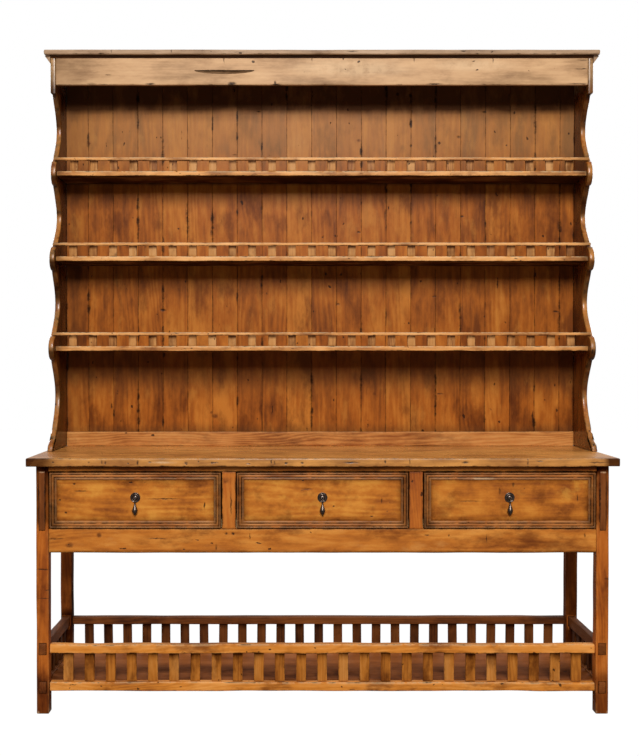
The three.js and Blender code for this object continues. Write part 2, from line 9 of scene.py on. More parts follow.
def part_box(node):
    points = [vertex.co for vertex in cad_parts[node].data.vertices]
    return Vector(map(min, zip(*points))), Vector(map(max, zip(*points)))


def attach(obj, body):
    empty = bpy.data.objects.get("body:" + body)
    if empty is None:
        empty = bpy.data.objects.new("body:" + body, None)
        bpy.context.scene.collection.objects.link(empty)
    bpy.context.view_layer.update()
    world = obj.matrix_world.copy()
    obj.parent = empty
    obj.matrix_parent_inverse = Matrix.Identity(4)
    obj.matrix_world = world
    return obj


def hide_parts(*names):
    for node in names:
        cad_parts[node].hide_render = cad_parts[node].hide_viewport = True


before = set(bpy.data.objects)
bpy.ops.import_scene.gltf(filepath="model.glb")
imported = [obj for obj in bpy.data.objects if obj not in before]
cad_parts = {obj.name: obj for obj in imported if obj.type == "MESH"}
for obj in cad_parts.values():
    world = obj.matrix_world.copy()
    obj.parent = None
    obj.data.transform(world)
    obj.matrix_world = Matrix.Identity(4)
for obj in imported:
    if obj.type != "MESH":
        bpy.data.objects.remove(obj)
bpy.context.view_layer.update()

# Camera. The dresser is seen from straight in front, a little left of its middle, at chest
# height, with a normal lens tilted down by about one degree.
camera_place = (-0.1296, -3.849, 1.2256)
camera_tilt = 0.0167
camera_data = bpy.data.cameras.new("camera")
camera_data.lens = 50.0
camera_data.sensor_width = 36.0
camera_data.shift_x = 0.043
camera = bpy.data.objects.new("camera", camera_data)
camera.location = camera_place
camera.rotation_euler = (math.pi / 2 - camera_tilt, 0.0, 0.0)
bpy.context.scene.collection.objects.link(camera)
bpy.context.scene.camera = camera


# Legs. Four square posts of fruitwood, planed by hand and worn soft along the arrises; the
# side rails' tenons run right through them. The waxed wood is red brown, darker at the feet.
def linear(colour):
    """An sRGB hex colour turned to linear red, green, blue and alpha."""
    parts = [int(colour[at:at + 2], 16) / 255 for at in (1, 3, 5)]
    return (*[c / 12.92 if c <= 0.04045 else ((c + 0.055) / 1.055) ** 2.4 for c in parts], 1.0)


def add_node(tree, kind, links=None, **settings):
    """Adds a node with its settings, links or fills its inputs, and gives its outputs."""
    made = tree.nodes.new(kind if "Node" in kind else "ShaderNode" + kind)
    for name, value in settings.items():
        setattr(made, name, value)
    for name, value in (links or {}).items():
        if isinstance(value, bpy.types.NodeSocket):
            tree.links.new(value, made.inputs[name])
        else:
            made.inputs[name].default_value = value
    return made.outputs


def new_material(name):
    """A material with an empty node tree."""
    material = bpy.data.materials.new(name)
    material.use_nodes = True
    material.node_tree.nodes.clear()
    return material, material.node_tree


grain_turn = {"x": (0, 0, 0), "y": (0, 0, -math.pi / 2), "z": (0, math.pi / 2, 0)}
crease = math.radians(50)
weld = 0.00001


def fruitwood(name, grain, deep, body, light, worn, ring=0.011, figure=0.4, stain=0.6, wear=0.3,
              grime=0.0, specks=0.5, fleck_size=34.0, flow=0.3, roughness=0.42, patches=0.0,
              foot=0.0, painted_sheen=(0.0, 1.0, "#ffffff", 0.0), marks=(), knots=(), scuffs=(), sheen=0.1,
              shade_paint=("#5a4a3e", "MULTIPLY")):
    """Stained and waxed fruitwood with its grain along one axis.

    Growth rings show as streaks and arches, then come broad changes of tone, dark stain
    that was rubbed in, cracks and worm holes, upper arrises rubbed pale and lower ones left
    dirty; the pale upper arrises are also a painted highlight and the dark lower ones also
    painted shade. Marks are single dark nicks, knots are soft brown eyes and scuffs are pale
    rubs, some of them painted light: each has a centre and its half sizes. The foot is darker
    below a height. The painted sheen is a height, how far it fades, the pale colour painted
    above it for the sheen of the light there and that colour's share. The shade paint is the
    colour of the painted shade, and some dirt, that the shade value carries, and whether it
    darkens the wood or hides it.
    """
    material, tree = new_material(name)
    material["grain"] = grain
    add = partial(add_node, tree)
    place = add("TexCoord")["Object"]
    height = add("SeparateXYZ", {0: place})[2]
    own = {value: add("Attribute", attribute_name=value)
           for value in ("board", "tone", "edge", "shade", "turn")}
    stood = add("Mapping", {"Vector": place, "Rotation": own["turn"]["Vector"]})[0]
    turned = add("Mapping", {"Vector": stood, "Location": own["board"]["Vector"],
                             "Rotation": grain_turn[grain]})[0]

    # The patterns, drawn out along the grain: rings, broad tones, fibres and clouds of stain
    drawn = [add("VectorMath", {0: turned, 1: (stretch, 1.0, 1.0)}, operation="MULTIPLY")[0]
             for stretch in (0.16, flow, 0.05, 1.5 * flow)]
    drift, broad, fibre, cloud, fray, tatter, rag = [
        add("TexNoise", {"Vector": spot, "Scale": scale, "Detail": detail, "Roughness": rough})
        for spot, scale, detail, rough in (
            (drawn[0], 8.0, 2.0, 0.5), (drawn[1], 12.0, 5.0, 0.65), (drawn[2], 150.0, 3.0, 0.5),
            (drawn[3], 11.0, 5.0, 0.66), (place, 30.0, 4.0, 0.65), (turned, 70.0, 3.0, 0.5),
            (place, 90.0, 3.0, 0.5))]
    fibre, cloud, fray = fibre["Fac"], cloud["Fac"], fray["Fac"]
    bent, frayed, ragged = [
        add("VectorMath", {0: way["Color"], 1: (far, far, far), 2: start},
            operation="MULTIPLY_ADD")[0]
        for way, far, start in (
            (drift, 0.14, drawn[0]), (tatter, 0.014, turned), (rag, 0.006, place))]
    bent = add("Mapping", {"Vector": bent, "Rotation": (0.0, 0.22, 0.16)})[0]
    rings = add("TexWave", {"Vector": bent, "Scale": math.tau / (20 * ring), "Distortion": 3.0,
                            "Detail": 3.0, "Detail Scale": 2.0},
                wave_type="RINGS", rings_direction="X")["Fac"]
    lean = broad["Fac"]
    for value, part in ((rings, figure * 0.22), (fibre, 0.22), (own["tone"]["Fac"], 0.09)):
        lean = add("Math", {0: value, 1: part, 2: lean}, operation="MULTIPLY_ADD")[0]
    colour = add("ValToRGB", {"Fac": lean})["Color"]
    stops = colour.node.color_ramp.elements
    middle = 0.61 + figure * 0.11
    for stop, at, hue in ((stops[0], middle - 0.22, deep), (stops.new(middle), middle, body),
                          (stops[-1], middle + 0.2, light)):
        stop.position = at
        stop.color = linear(hue)
    rubbing, uneven, broken, gloss = [
        add("MapRange", {"Value": value, "From Min": a, "From Max": b, "To Min": c, "To Max": d})[0]
        for value, a, b, c, d in (
            (fray, 0.38, 0.62, 0.0, wear), (cloud, 0.35, 0.65, 0.75, 1.2),
            (fray, 0.36, 0.56, 0.4, 1.0), (cloud, 0.0, 1.0, roughness - 0.06, roughness + 0.1))]

    # What lies over the wood, from the oldest: each layer is a share, a colour and how it mixes
    # The painted sheen: a pale colour painted high up for the sheen of the light there
    level, spread, painted_sheen_hue, part = painted_sheen
    layers = [(add("MapRange", {"Value": value, "From Min": start, "From Max": end, "To Max": most},
                   interpolation_type="SMOOTHSTEP")[0], hue, blend)
              for value, start, end, most, hue, blend in (
                  (cloud, 0.46, 0.30, patches, worn, "MIX"),
                  (cloud, 0.48, 0.7, stain, "#80604a", "MULTIPLY"),
                  (height, level - spread, level + spread, part, painted_sheen_hue, "MIX"),
                  (height, foot, foot - 0.06, float(foot > 0.0), "#b2a698", "MULTIPLY")) if most]
    # Pale upper arrises are wear and a painted highlight; the shade value paints shade, with some
    # dirt, and the grime on lower arrises is dirt and painted shade
    upper = add("Math", {0: own["edge"]["Fac"], 1: 0.0}, operation="MAXIMUM")[0]
    bare = add("Math", {0: rubbing, 1: upper}, operation="MULTIPLY")[0]
    shade = add("Math", {0: own["shade"]["Fac"], 1: uneven}, operation="MULTIPLY",
                use_clamp=True)[0]
    layers += [(bare, worn, "MIX"), (shade, *shade_paint)]
    if grime:
        crust = add("Math", {0: fray, 1: 2.2, 2: grime - 1.5}, operation="MULTIPLY_ADD",
                    use_clamp=True)[0]
        either = add("Math", {0: own["edge"]["Fac"]}, operation="ABSOLUTE")[0]
        hidden = add("Math", {0: upper, 1: -0.4, 2: either}, operation="MULTIPLY_ADD")[0]
        crust = add("Math", {0: crust, 1: hidden}, operation="MULTIPLY")[0]
        crust = add("MapRange", {
            "Value": crust, "From Min": 0.02, "From Max": 0.3, "To Max": 0.92})[0]
        layers.append((crust, "#1d0f06", "MIX"))
    flecks = []
    for stretch, share, reach in ((0.12, 0.6, 0.11), (0.6, 0.5, 0.17)):
        thin = add("VectorMath", {0: frayed, 1: (stretch, 1.0, 1.0)}, operation="MULTIPLY")[0]
        cell = add("TexVoronoi", {"Vector": thin, "Scale": fleck_size})
        few = add("MapRange", {
            "Value": add("SeparateXYZ", {0: cell["Color"]})[0], "From Min": 1.0 - specks * share,
            "From Max": 1.0, "To Min": -0.02, "To Max": reach})[0]
        flecks.append(add("Math", {0: few, 1: cell["Distance"]}, operation="SUBTRACT")[0])
    fleck = add("Math", {0: flecks[0], 1: flecks[1]}, operation="MAXIMUM")[0]
    fleck = add("MapRange", {"Value": fleck, "From Max": 0.03, "To Max": 0.85})[0]
    for spots, most, hue in (
            (scuffs, 0.6, "#d9b48a"), (knots, 0.8, "#552a10"), (marks, 0.95, None)):
        nearest = None
        for centre, half in spots:
            away = ragged
            for other, operation in (([c + 0.003 for c in centre], "SUBTRACT"), (half, "DIVIDE")):
                away = add("VectorMath", {0: away, 1: other}, operation=operation)[0]
            away = add("VectorMath", {0: away}, operation="LENGTH")["Value"]
            nearest = away if nearest is None else add(
                "Math", {0: nearest, 1: away}, operation="MINIMUM")[0]
        if spots:
            marked = add("MapRange", {
                "Value": nearest, "From Min": 1.35, "From Max": 0.3, "To Max": most},
                interpolation_type="SMOOTHSTEP")[0]
            marked = add("Math", {0: marked, 1: broken}, operation="MULTIPLY")[0]
            if hue:
                layers.append((marked, hue, "MIX"))
            else:
                fleck = add("Math", {0: fleck, 1: marked}, operation="MAXIMUM")[0]
    for share, hue, blend in [*layers, (fleck, "#241208", "MIX")]:
        colour = add("Mix", {0: share, 6: colour, 7: linear(hue)}, data_type="RGBA",
                     blend_type=blend)[2]

    relief = add("Math", {0: fleck, 1: -2.0, 2: fibre}, operation="MULTIPLY_ADD")[0]
    bump = add("Bump", {"Height": relief, "Strength": 0.3, "Distance": 0.0012})[0]
    # The sheen is turned down where shade is painted.
    shine = add("MapRange", {"Value": shade, "To Min": sheen, "To Max": 0.15 * sheen})[0]
    add("OutputMaterial", {"Surface": add("BsdfPrincipled", {
        "Base Color": colour, "Roughness": gloss, "Normal": bump, "IOR": 1.5,
        "Specular IOR Level": shine})[0]})
    return material


def worn_board(low, high, run, seed, ease=0.002, wander=0.0006, step=0.03, pace=7.0, skirt=0.006,
               rubbed=1.0):
    """One board with softened arrises that wander inwards along its length.

    The wander is one value, or one for each side: its low and high side, then its bottom and
    top. The arrises are marked 1 where hands rub them, which also paints a highlight on the
    upper ones, and -1 under a board that lies flat, where the dirt also paints shade.
    """
    side, up = [axis for axis in (0, 1, 2) if axis != run]
    wander = wander if isinstance(wander, tuple) else (wander,) * 4
    under = rubbed if run == 2 else -1.0
    length = high[run] - low[run]
    lead = [0.0, ease * 0.3, ease, ease + skirt]
    count = max(1, round((length - 2 * lead[-1]) / step))
    between = [lead[-1] + (length - 2 * lead[-1]) * i / count for i in range(1, count)]
    points, near, rings = [], [], []
    for along in lead + between + [length - end for end in reversed(lead)]:
        from_end = min(along, length - along)
        inset = ease * (1 - math.sqrt(max(0.0, 1 - max(0.0, 1 - from_end / ease) ** 2)))
        rub = [noise.noise(Vector((along * pace, seed * 7.31, which * 3.17))) for which in range(8)]
        give = [inset + far * max(0.0, 0.45 + 1.1 * value) for far, value in zip(wander, rub)]
        a0, a1 = low[side] + give[0], high[side] - give[1]
        b0, b1 = low[up] + give[2], high[up] - give[3]
        soft = [ease * (0.85 + 0.9 * max(0.0, value)) for value in rub[4:]]
        ring = []
        corners = ((a0, b0, 1, 1, 180), (a1, b0, -1, 1, 270), (a1, b1, -1, -1, 0),
                   (a0, b1, 1, -1, 90))
        for (a, b, da, db, start), radius in zip(corners, soft):
            reach_a = min(skirt + radius, 0.4 * (a1 - a0))
            reach_b = min(skirt + radius, 0.4 * (b1 - b0))
            before = (a, b + db * reach_b) if start in (180, 0) else (a + da * reach_a, b)
            after = (a + da * reach_a, b) if start in (180, 0) else (a, b + db * reach_b)
            ring.append((*before, 0.0))
            for turn, bare in ((0, 0.3), (30, 1.0), (60, 1.0), (90, 0.3)):
                angle = math.radians(start + turn)
                ring.append((a + da * radius + radius * math.cos(angle),
                             b + db * radius + radius * math.sin(angle),
                             bare * (under if db > 0 else rubbed)))
            ring.append((*after, 0.0))
        rings.append(range(len(points), len(points) + len(ring)))
        end_worn = from_end <= ease
        for a, b, edge in ring:
            point = [0.0, 0.0, 0.0]
            point[run], point[side], point[up] = low[run] + along, a, b
            points.append(point)
            near.append(0.3 * rubbed if end_worn else edge)
    return points, lofted(rings), near


def lofted(rings, closed=False):
    """Faces that join rings of points one to the next, with a cap on each end unless closed."""
    faces = []
    pairs = list(zip(rings, rings[1:] + (rings[:1] if closed else [])))
    for one, other in pairs[:len(rings) if closed else None]:
        size = len(one)
        for at in range(size):
            after = (at + 1) % size
            faces.append((one[at], one[after], other[after], other[at]))
    if not closed:
        faces += [tuple(rings[0]), tuple(rings[-1])]
    return faces


def held(value):
    """The value, held between 0 and 1."""
    return min(1.0, max(0.0, value))


def chance(seed, which=0):
    """A steady value from -1 to 1 for one board."""
    spot = Vector((seed * 5.713 + 0.37, which * 9.21 + 0.61, 4.2))
    return max(-1.0, min(1.0, 1.9 * noise.noise(spot)))


def store(mesh, name, values, kind="FLOAT", domain="POINT"):
    """Gives a mesh its own values for the wood to read."""
    if name not in mesh.attributes:
        mesh.attributes.new(name, kind, domain)
    mesh.attributes[name].data.foreach_set("value" if kind == "FLOAT" else "vector", values)


def own_grain(mesh, seed):
    """Gives every face of a board the same place in a log, near its heart, and the same tone."""
    count = len(mesh.polygons)
    low, high = [Vector([pick(vertex.co[axis] for vertex in mesh.vertices) for axis in range(3)])
                 for pick in (min, max)]
    centre = Euler(grain_turn[mesh.materials[0]["grain"]]).to_matrix() @ ((low + high) / 2)
    from_heart = (chance(seed, 2) * 0.06 - centre.y, chance(seed, 3) * 0.08 - centre.z)
    store(mesh, "board", [chance(seed, 1) * 9, *from_heart] * count, "FLOAT_VECTOR", "FACE")
    store(mesh, "tone", [chance(seed, 4)] * count, "FLOAT", "FACE")


def wood_mesh(name, board, material, seed, shaded=None, loops=()):
    """The mesh of a board, with the board, tone, edge and shade values that the wood reads.

    Each loop is an axis and a place, where edges are cut so that the shade can change there.
    """
    points, faces, near = board
    mesh = bpy.data.meshes.new(name)
    mesh.from_pydata(points, [], faces)
    mesh.materials.append(material)
    own_grain(mesh, seed)
    store(mesh, "edge", near)
    work = bmesh.new()
    work.from_mesh(mesh)
    for axis, place in loops:
        way = Vector([float(number == axis) for number in range(3)])
        bmesh.ops.bisect_plane(work, geom=[*work.verts, *work.edges, *work.faces],
                               plane_co=way * place, plane_no=way)
    bmesh.ops.recalc_face_normals(work, faces=work.faces)
    work.to_mesh(mesh)
    work.free()
    if shaded:
        store(mesh, "shade", [shaded(vertex.co) for vertex in mesh.vertices])
    mesh.shade_smooth()
    mesh.set_sharp_from_angle(angle=crease)
    return mesh


def shown(name, mesh):
    """An object for a mesh, linked to the scene."""
    made = bpy.data.objects.new(name, mesh)
    bpy.context.scene.collection.objects.link(made)
    return made


def fixed(name, mesh, body, slot, *nodes):
    """A finished piece that rides on its body in place of its nodes."""
    piece = shown(name, mesh)
    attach(piece, body)
    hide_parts(*nodes)


def plain_board(name, node, run, seed, wood, slot, shaded=None, loops=(), **shape):
    """One worn board in place of a CAD node; the shape goes to worn_board."""
    board = worn_board(*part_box(node), run, seed, **shape)
    fixed(name, wood_mesh(node, board, wood, seed, shaded, loops), "case", slot, node)


def applied(piece):
    """The mesh of a piece with its modifiers worked in."""
    ready = piece.evaluated_get(bpy.context.evaluated_depsgraph_get())
    mesh = bpy.data.meshes.new_from_object(ready)
    piece.modifiers.clear()
    mesh.set_sharp_from_angle(angle=crease)
    return mesh


def waste(middle, size, ball=False):
    """A plain block, or an egg, to cut with."""
    work = bmesh.new()
    if ball:
        bmesh.ops.create_uvsphere(work, u_segments=32, v_segments=16, radius=1.0)
    else:
        bmesh.ops.create_cube(work, size=1.0)
    bmesh.ops.transform(work, verts=work.verts,
                        matrix=Matrix.LocRotScale(Vector(middle), None, Vector(size)))
    mesh = bpy.data.meshes.new("waste")
    work.to_mesh(mesh)
    work.free()
    return shown("waste", mesh)


def cut_away(mesh, cutters, seed):
    """The mesh without what the cutters take, its grain set again; the cutters go."""
    piece = shown("cut", mesh)
    for cutter in cutters:
        cut = piece.modifiers.new("cut", "BOOLEAN")
        cut.object = cutter
        cut.solver = "EXACT"
    mesh = applied(piece)
    own_grain(mesh, seed)
    for gone in (piece, *cutters):
        bpy.data.objects.remove(gone)
    return mesh


def marks_at(depth, *spots):
    """Marks on a board's face, each given by its place across and up and its half sizes."""
    return [((x, depth, z), (half_x, 0.03, half_z)) for x, z, half_x, half_z in spots]


leg_face = -0.229
leg_marks = marks_at(leg_face, (-0.971, 0.503, 0.024, 0.003), (-0.972, 0.402, 0.022, 0.002),
                     (0.983, 0.470, 0.014, 0.004), (-0.960, 0.430, 0.008, 0.002))
leg_chips = marks_at(leg_face, (-0.993, 0.004, 0.006, 0.008), (-0.952, 0.006, 0.005, 0.012),
                     (0.940, 0.004, 0.006, 0.008), (0.983, 0.004, 0.006, 0.008))
strips = [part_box("post_strip_" + side) for side in ("left", "right")]
strip_face = strips[0][0].y
strip_top = strips[0][1].z
strip_middle = (strips[0][0].z + strip_top) / 2
strip_dirt = marks_at(strip_face, *[
    (edge.x, strip_middle, 0.0032, 0.115) for strip in strips for edge in strip])
leg_ease = 0.0034
leg_wander = 0.0012
gallery_top = 0.28
sky_foot = 0.31
drawer_foot = 0.645
drawer_top = 0.84


def leg_shade(where, point, inner):
    """Painted shade on the rear legs behind the gallery and on the front legs by the drawers."""
    left = "left" in where
    if "rear" in where:
        behind = 0.9 * held((gallery_top - point.z) / 0.03)
        fading = (0.25 if left else 0.9) - 3.2 * max(0.0, point.z - sky_foot)
        return max(behind, 0.0 if left else 0.55, fading, 0.9 * (abs(point.x - inner) < 0.002))
    return 1.0 if point.z > drawer_top else (0.78 if left else 0.42) * (point.z > drawer_foot)


mortise_play = 0.0012
tenon_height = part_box("gallery_left_lower_rail")[1].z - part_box("gallery_left_lower_rail")[0].z
leg_wood = fruitwood("red_brown_waxed_fruitwood", "z", "#803c13", "#ad5c1d", "#be6e2c", "#cc8846",
                     stain=0.75, wear=0.35, specks=0.6, roughness=0.4, foot=0.17,
                     marks=leg_marks + strip_dirt, scuffs=leg_chips)
for where, side, seed in (("front_left", "left", 11), ("front_right", "right", 28),
                          ("rear_left", "left", 13), ("rear_right", "right", 14)):
    low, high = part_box("leg_" + where)
    inner = min(low.x, high.x, key=abs)
    cutters = []
    for height in ("lower", "upper"):
        rail_low, rail_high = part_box(f"gallery_{side}_{height}_rail")
        cutters.append(waste(
            ((rail_low.x + rail_high.x) / 2, (low.y + high.y) / 2, rail_high.z - tenon_height / 2),
            (rail_high.x - rail_low.x + 2 * mortise_play, high.y - low.y + 0.02,
             tenon_height + 2 * mortise_play)))
    mesh = wood_mesh("leg", worn_board(low, high, 2, seed, leg_ease, leg_wander), leg_wood, seed,
                     lambda point: leg_shade(where, point, inner))
    fixed(f"square_leg_{where}", cut_away(mesh, cutters, seed), "case", "leg_wood", "leg_" + where)


# Frame. A thin rail over the drawers, a deep apron under them and two short uprights between,
# all tenoned into the legs, with plain boards at the sides and back. The drawer openings are
# cut sharp; only the lower edge of the apron is rubbed.
frame_face = -0.226
apron_marks = marks_at(
    frame_face, (-0.930, 0.609, 0.030, 0.0022), (-0.581, 0.611, 0.040, 0.0016),
    (-0.375, 0.581, 0.004, 0.012), (-0.258, 0.618, 0.002, 0.012), (-0.339, 0.627, 0.006, 0.005),
    (-0.316, 0.627, 0.006, 0.005), (0.354, 0.622, 0.010, 0.003), (0.430, 0.621, 0.003, 0.004),
    (0.560, 0.612, 0.002, 0.014), (0.646, 0.572, 0.007, 0.002), (0.900, 0.622, 0.003, 0.008))
apron_knots = marks_at(frame_face, (-0.780, 0.622, 0.009, 0.009), (-0.882, 0.587, 0.013, 0.010))
upright_marks = marks_at(frame_face, (-0.323, 0.734, 0.003, 0.045), (0.352, 0.735, 0.003, 0.020))
upright_knots = marks_at(frame_face, (-0.346, 0.812, 0.016, 0.012), (0.355, 0.790, 0.008, 0.030))
frame_wood = fruitwood("honey_waxed_fruitwood", "x", "#8a4818", "#b86c26", "#cc8438", "#cf9350",
                       figure=0.45, stain=0.7, grime=0.8, specks=1.1, roughness=0.4, patches=0.35,
                       marks=apron_marks, knots=apron_knots)
upright_wood = fruitwood("honey_waxed_fruitwood_upright", "z", "#87441a", "#ab5c1e", "#bf742e",
                         "#d09350", stain=0.9, grime=0.8, specks=1.1, marks=upright_marks,
                         knots=upright_knots)
# A darker copy of the frame wood that paints shade on the back apron.
shade_wood = fruitwood("shaded_copy_frame_fruitwood", "x", "#4a2712", "#6b3a1b", "#824a25", "#93592e",
                       stain=0.7, roughness=0.48)
side_wood = fruitwood("honey_waxed_fruitwood_sideways", "y", "#8d4819", "#b5692a", "#c87f3a",
                      "#d39a58", figure=0.6, grime=0.3)
for node, run, wood, wander, seed in (
        ("top_rail", 0, frame_wood, 0.0005, 21),
        ("apron_rail", 0, frame_wood, (0.001, 0.0, 0.0014, 0.0004), 22),
        ("muntin_left", 2, upright_wood, 0.0008, 23), ("muntin_right", 2, upright_wood, 0.0008, 29),
        ("side_apron_left", 1, side_wood, 0.0006, 25),
        ("side_apron_right", 1, side_wood, 0.0006, 26), ("back_apron", 0, shade_wood, 0.0006, 27)):
    low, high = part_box(node)
    # The counter's shadow is painted on the upper half of the top rail; the apron darkens towards
    # its lower edge.
    overhung = (low.z + high.z) / 2 if node == "top_rail" else math.inf
    foot = low.z + 0.012 if node == "apron_rail" else 0.0
    plain_board("framed_" + node, node, run, seed, wood, "frame_wood", ease=0.0016,
                wander=wander, rubbed=-0.9 if run == 2 else 1.0,
                loops=[(2, foot), (2, foot - 0.006)],
                shaded=lambda point: (
                    0.7 if point.z > overhung else max(0.0, (foot - point.z) * 65.0)))


# Strips. A narrow moulded lath is pinned to the face of each front leg beside the drawers. It
# was stained darker than the leg, and dirt has gathered along both of its sides.
# The pale rubs at the strips' top ends are wear and also a painted highlight.
strip_wood = fruitwood("dark_stained_lath", "z", "#4c260e", "#6c3814", "#80481f", "#a06c40",
                       figure=0.3, stain=0.5, wear=0.2, specks=0.4, marks=strip_dirt,
                       scuffs=marks_at(strip_face, *[
                           ((a.x + b.x) / 2, strip_top - 0.002, 0.013, 0.003) for a, b in strips]))
for side, seed in (("left", 131), ("right", 32)):
    plain_board("pinned_strip_" + side, "post_strip_" + side, 2, seed, strip_wood, "leg_wood",
                ease=0.0012)


# Drawer runners and the pot board. The runners are bare softwood, hidden in the carcase; the
# pot board is one wide waxed panel between the lower rails, with the shadow of the front
# rail painted on it.
def refinished(node, material):
    """A CAD piece that keeps its shape and takes a better finish."""
    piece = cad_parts[node]
    piece.data.materials.clear()
    piece.data.materials.append(material)


inner_wood = fruitwood("bare_softwood", "y", "#a98352", "#c3a06c", "#d2b384", "#d8bd90",
                       figure=0.7, stain=0.15, wear=0.1, specks=0.2, roughness=0.68)
for where in ("left", "mid_left", "mid_right", "right"):
    refinished("drawer_runner_" + where, inner_wood)
pot_board_wood = fruitwood("painted_shadow_pot_board_fruitwood", "x", "#8a4c24", "#aa622e", "#bb713b", "#b87c48",
                           figure=0.2, stain=0.3, wear=0.2, specks=0.3, roughness=0.5)


def board_shade(point):
    """Painted shade behind the front rail, thinning out to the back."""
    if point.y < -0.145:
        return 0.72
    return max(0.1, 0.75 - max(0.0, point.y + 0.1) * 5.5)


plain_board("wide_pot_board", "pot_board", 1, 35, pot_board_wood, "top_wood", wander=0.0,
            step=0.02, shaded=board_shade)


# Pot board gallery. Four rails stand over the pot board on rows of flat upright slats tenoned
# between them. The front rails are rubbed wavy by hand; the rear and side rails and their
# slats are a darker copy of the wood, painted shade.
def slat_row_tree():
    """A Geometry Nodes tree that stands a row of like pieces along a rail."""
    tree = bpy.data.node_groups.new("row_along_a_rail", "GeometryNodeTree")
    for name, kind in (("Rail", "Geometry"), ("Upright", "Object"), ("Count", "Int"),
                       ("First place", "Vector"), ("Spacing", "Vector"), ("Lean", "Vector"),
                       ("Grain turn", "Vector"), ("Seed", "Int"), ("Wood", "Material")):
        tree.interface.new_socket(name, in_out="INPUT", socket_type="NodeSocket" + kind)
    tree.interface.new_socket("Gallery", in_out="OUTPUT", socket_type="NodeSocketGeometry")
    add = partial(add_node, tree)
    given = add("NodeGroupInput")
    places = add("GeometryNodeMeshLine", {
        "Count": given["Count"], "Start Location": given["First place"],
        "Offset": given["Spacing"]})[0]
    upright = add("GeometryNodeObjectInfo", {
        "Object": given["Upright"], "As Instance": True})["Geometry"]
    back = add("VectorMath", {0: given["Lean"], 1: (-1.0, -1.0, -1.0)}, operation="MULTIPLY")[0]
    lean, shift = [
        add("FunctionNodeRandomValue", {0: least, 1: most, "Seed": given["Seed"]},
            data_type="FLOAT_VECTOR")[0]
        for least, most in ((back, given["Lean"]), ((-9.0, -5.0, -5.0), (9.0, 5.0, 5.0)))]
    tone = add("FunctionNodeRandomValue", {2: -1.2, 3: 1.2, "Seed": given["Seed"]},
               data_type="FLOAT")[1]
    stood = add("GeometryNodeInstanceOnPoints", {
        "Points": places, "Instance": upright,
        "Rotation": add("FunctionNodeEulerToRotation", {0: lean})[0]})[0]
    for name, value, kind in (("board", shift, "FLOAT_VECTOR"), ("tone", tone, "FLOAT"),
                              ("turn", given["Grain turn"], "FLOAT_VECTOR")):
        stood = add("GeometryNodeStoreNamedAttribute", {
            "Geometry": stood, "Name": name, "Value": value}, data_type=kind, domain="INSTANCE")[0]
    both = add("GeometryNodeJoinGeometry")[0]
    for part in (stood, given["Rail"]):
        tree.links.new(part, both.node.inputs[0])
    real = add("GeometryNodeRealizeInstances", {"Geometry": both})[0]
    add("NodeGroupOutput", {0: add("GeometryNodeSetMaterial", {
        "Geometry": real, "Material": given["Wood"]})[0]})
    return tree


row_tree = slat_row_tree()


def gallery_mesh(name, rail_board, upright_board, count, first, spacing, lean, turn, wood, seed,
                 dark, rail_shade=None):
    """A rail with its row of uprights, as one plain mesh.

    The uprights carry painted shade: darkest at the rail, and as much as given from a
    little way below it.
    """
    rail = shown(name, wood_mesh(name, rail_board, wood, seed, rail_shade))
    top = max(point[2] for point in upright_board[0]) - 0.008
    fade = 0.2 * top
    upright_mesh = wood_mesh("upright", upright_board, wood, seed, lambda point: dark + (
        1 - dark) * held(1 - (top - point.z) / fade))
    for value in ("board", "tone"):
        upright_mesh.attributes.remove(upright_mesh.attributes[value])
    upright = shown("upright", upright_mesh)
    row = rail.modifiers.new("row", "NODES")
    row.node_group = row_tree
    values = {"Upright": upright, "Count": count, "First place": first, "Spacing": spacing,
              "Lean": lean, "Grain turn": turn, "Seed": seed, "Wood": wood}
    for item in row_tree.interface.items_tree:
        if item.item_type == "SOCKET" and item.in_out == "INPUT" and item.name in values:
            row[item.identifier] = values[item.name]
    mesh = applied(rail)
    bpy.data.objects.remove(rail)
    bpy.data.objects.remove(upright)
    return mesh


# Its pale upper arrises are wear and also a painted highlight.
gallery_wood = fruitwood("bright_honey_fruitwood", "x", "#96521c", "#cf7f2f", "#e2974a", "#f6ca94",
                         stain=0.8, wear=0.85, grime=0.5, specks=1.7, fleck_size=42.0,
                         roughness=0.38)
shaded_gallery_wood, side_gallery_wood = [
    fruitwood("shaded_copy_gallery_fruitwood" + kind, grain, "#452411", "#6d3c19", "#7f4920", "#8c5a34",
              figure=0.5, wear=0.25, specks=0.6)
    for kind, grain in (("", "x"), ("_sideways", "y"))]
tenon_wood = fruitwood("tenon_end_fruitwood", "y", "#4a220c", "#6e3612", "#84461a", "#a06a34",
                       stain=0.7, wear=0.4, specks=0.8)


def tenon_ends(mesh, front):
    """Waxes the faces of a side rail that show in front of the leg like the leg itself."""
    mesh.materials.append(tenon_wood)
    for face in mesh.polygons:
        face.material_index = int(face.center.y < front + 0.004)
    return mesh


def standing(width, depth, height, seed, wander=0.0004, step=0.012, rubbed=-0.8):
    """One upright, centred on its place in a row."""
    return worn_board((-width / 2, -depth / 2, 0.0), (width / 2, depth / 2, height), 2, seed,
                      ease=0.0012, wander=wander, step=step, pace=4.0, rubbed=rubbed)


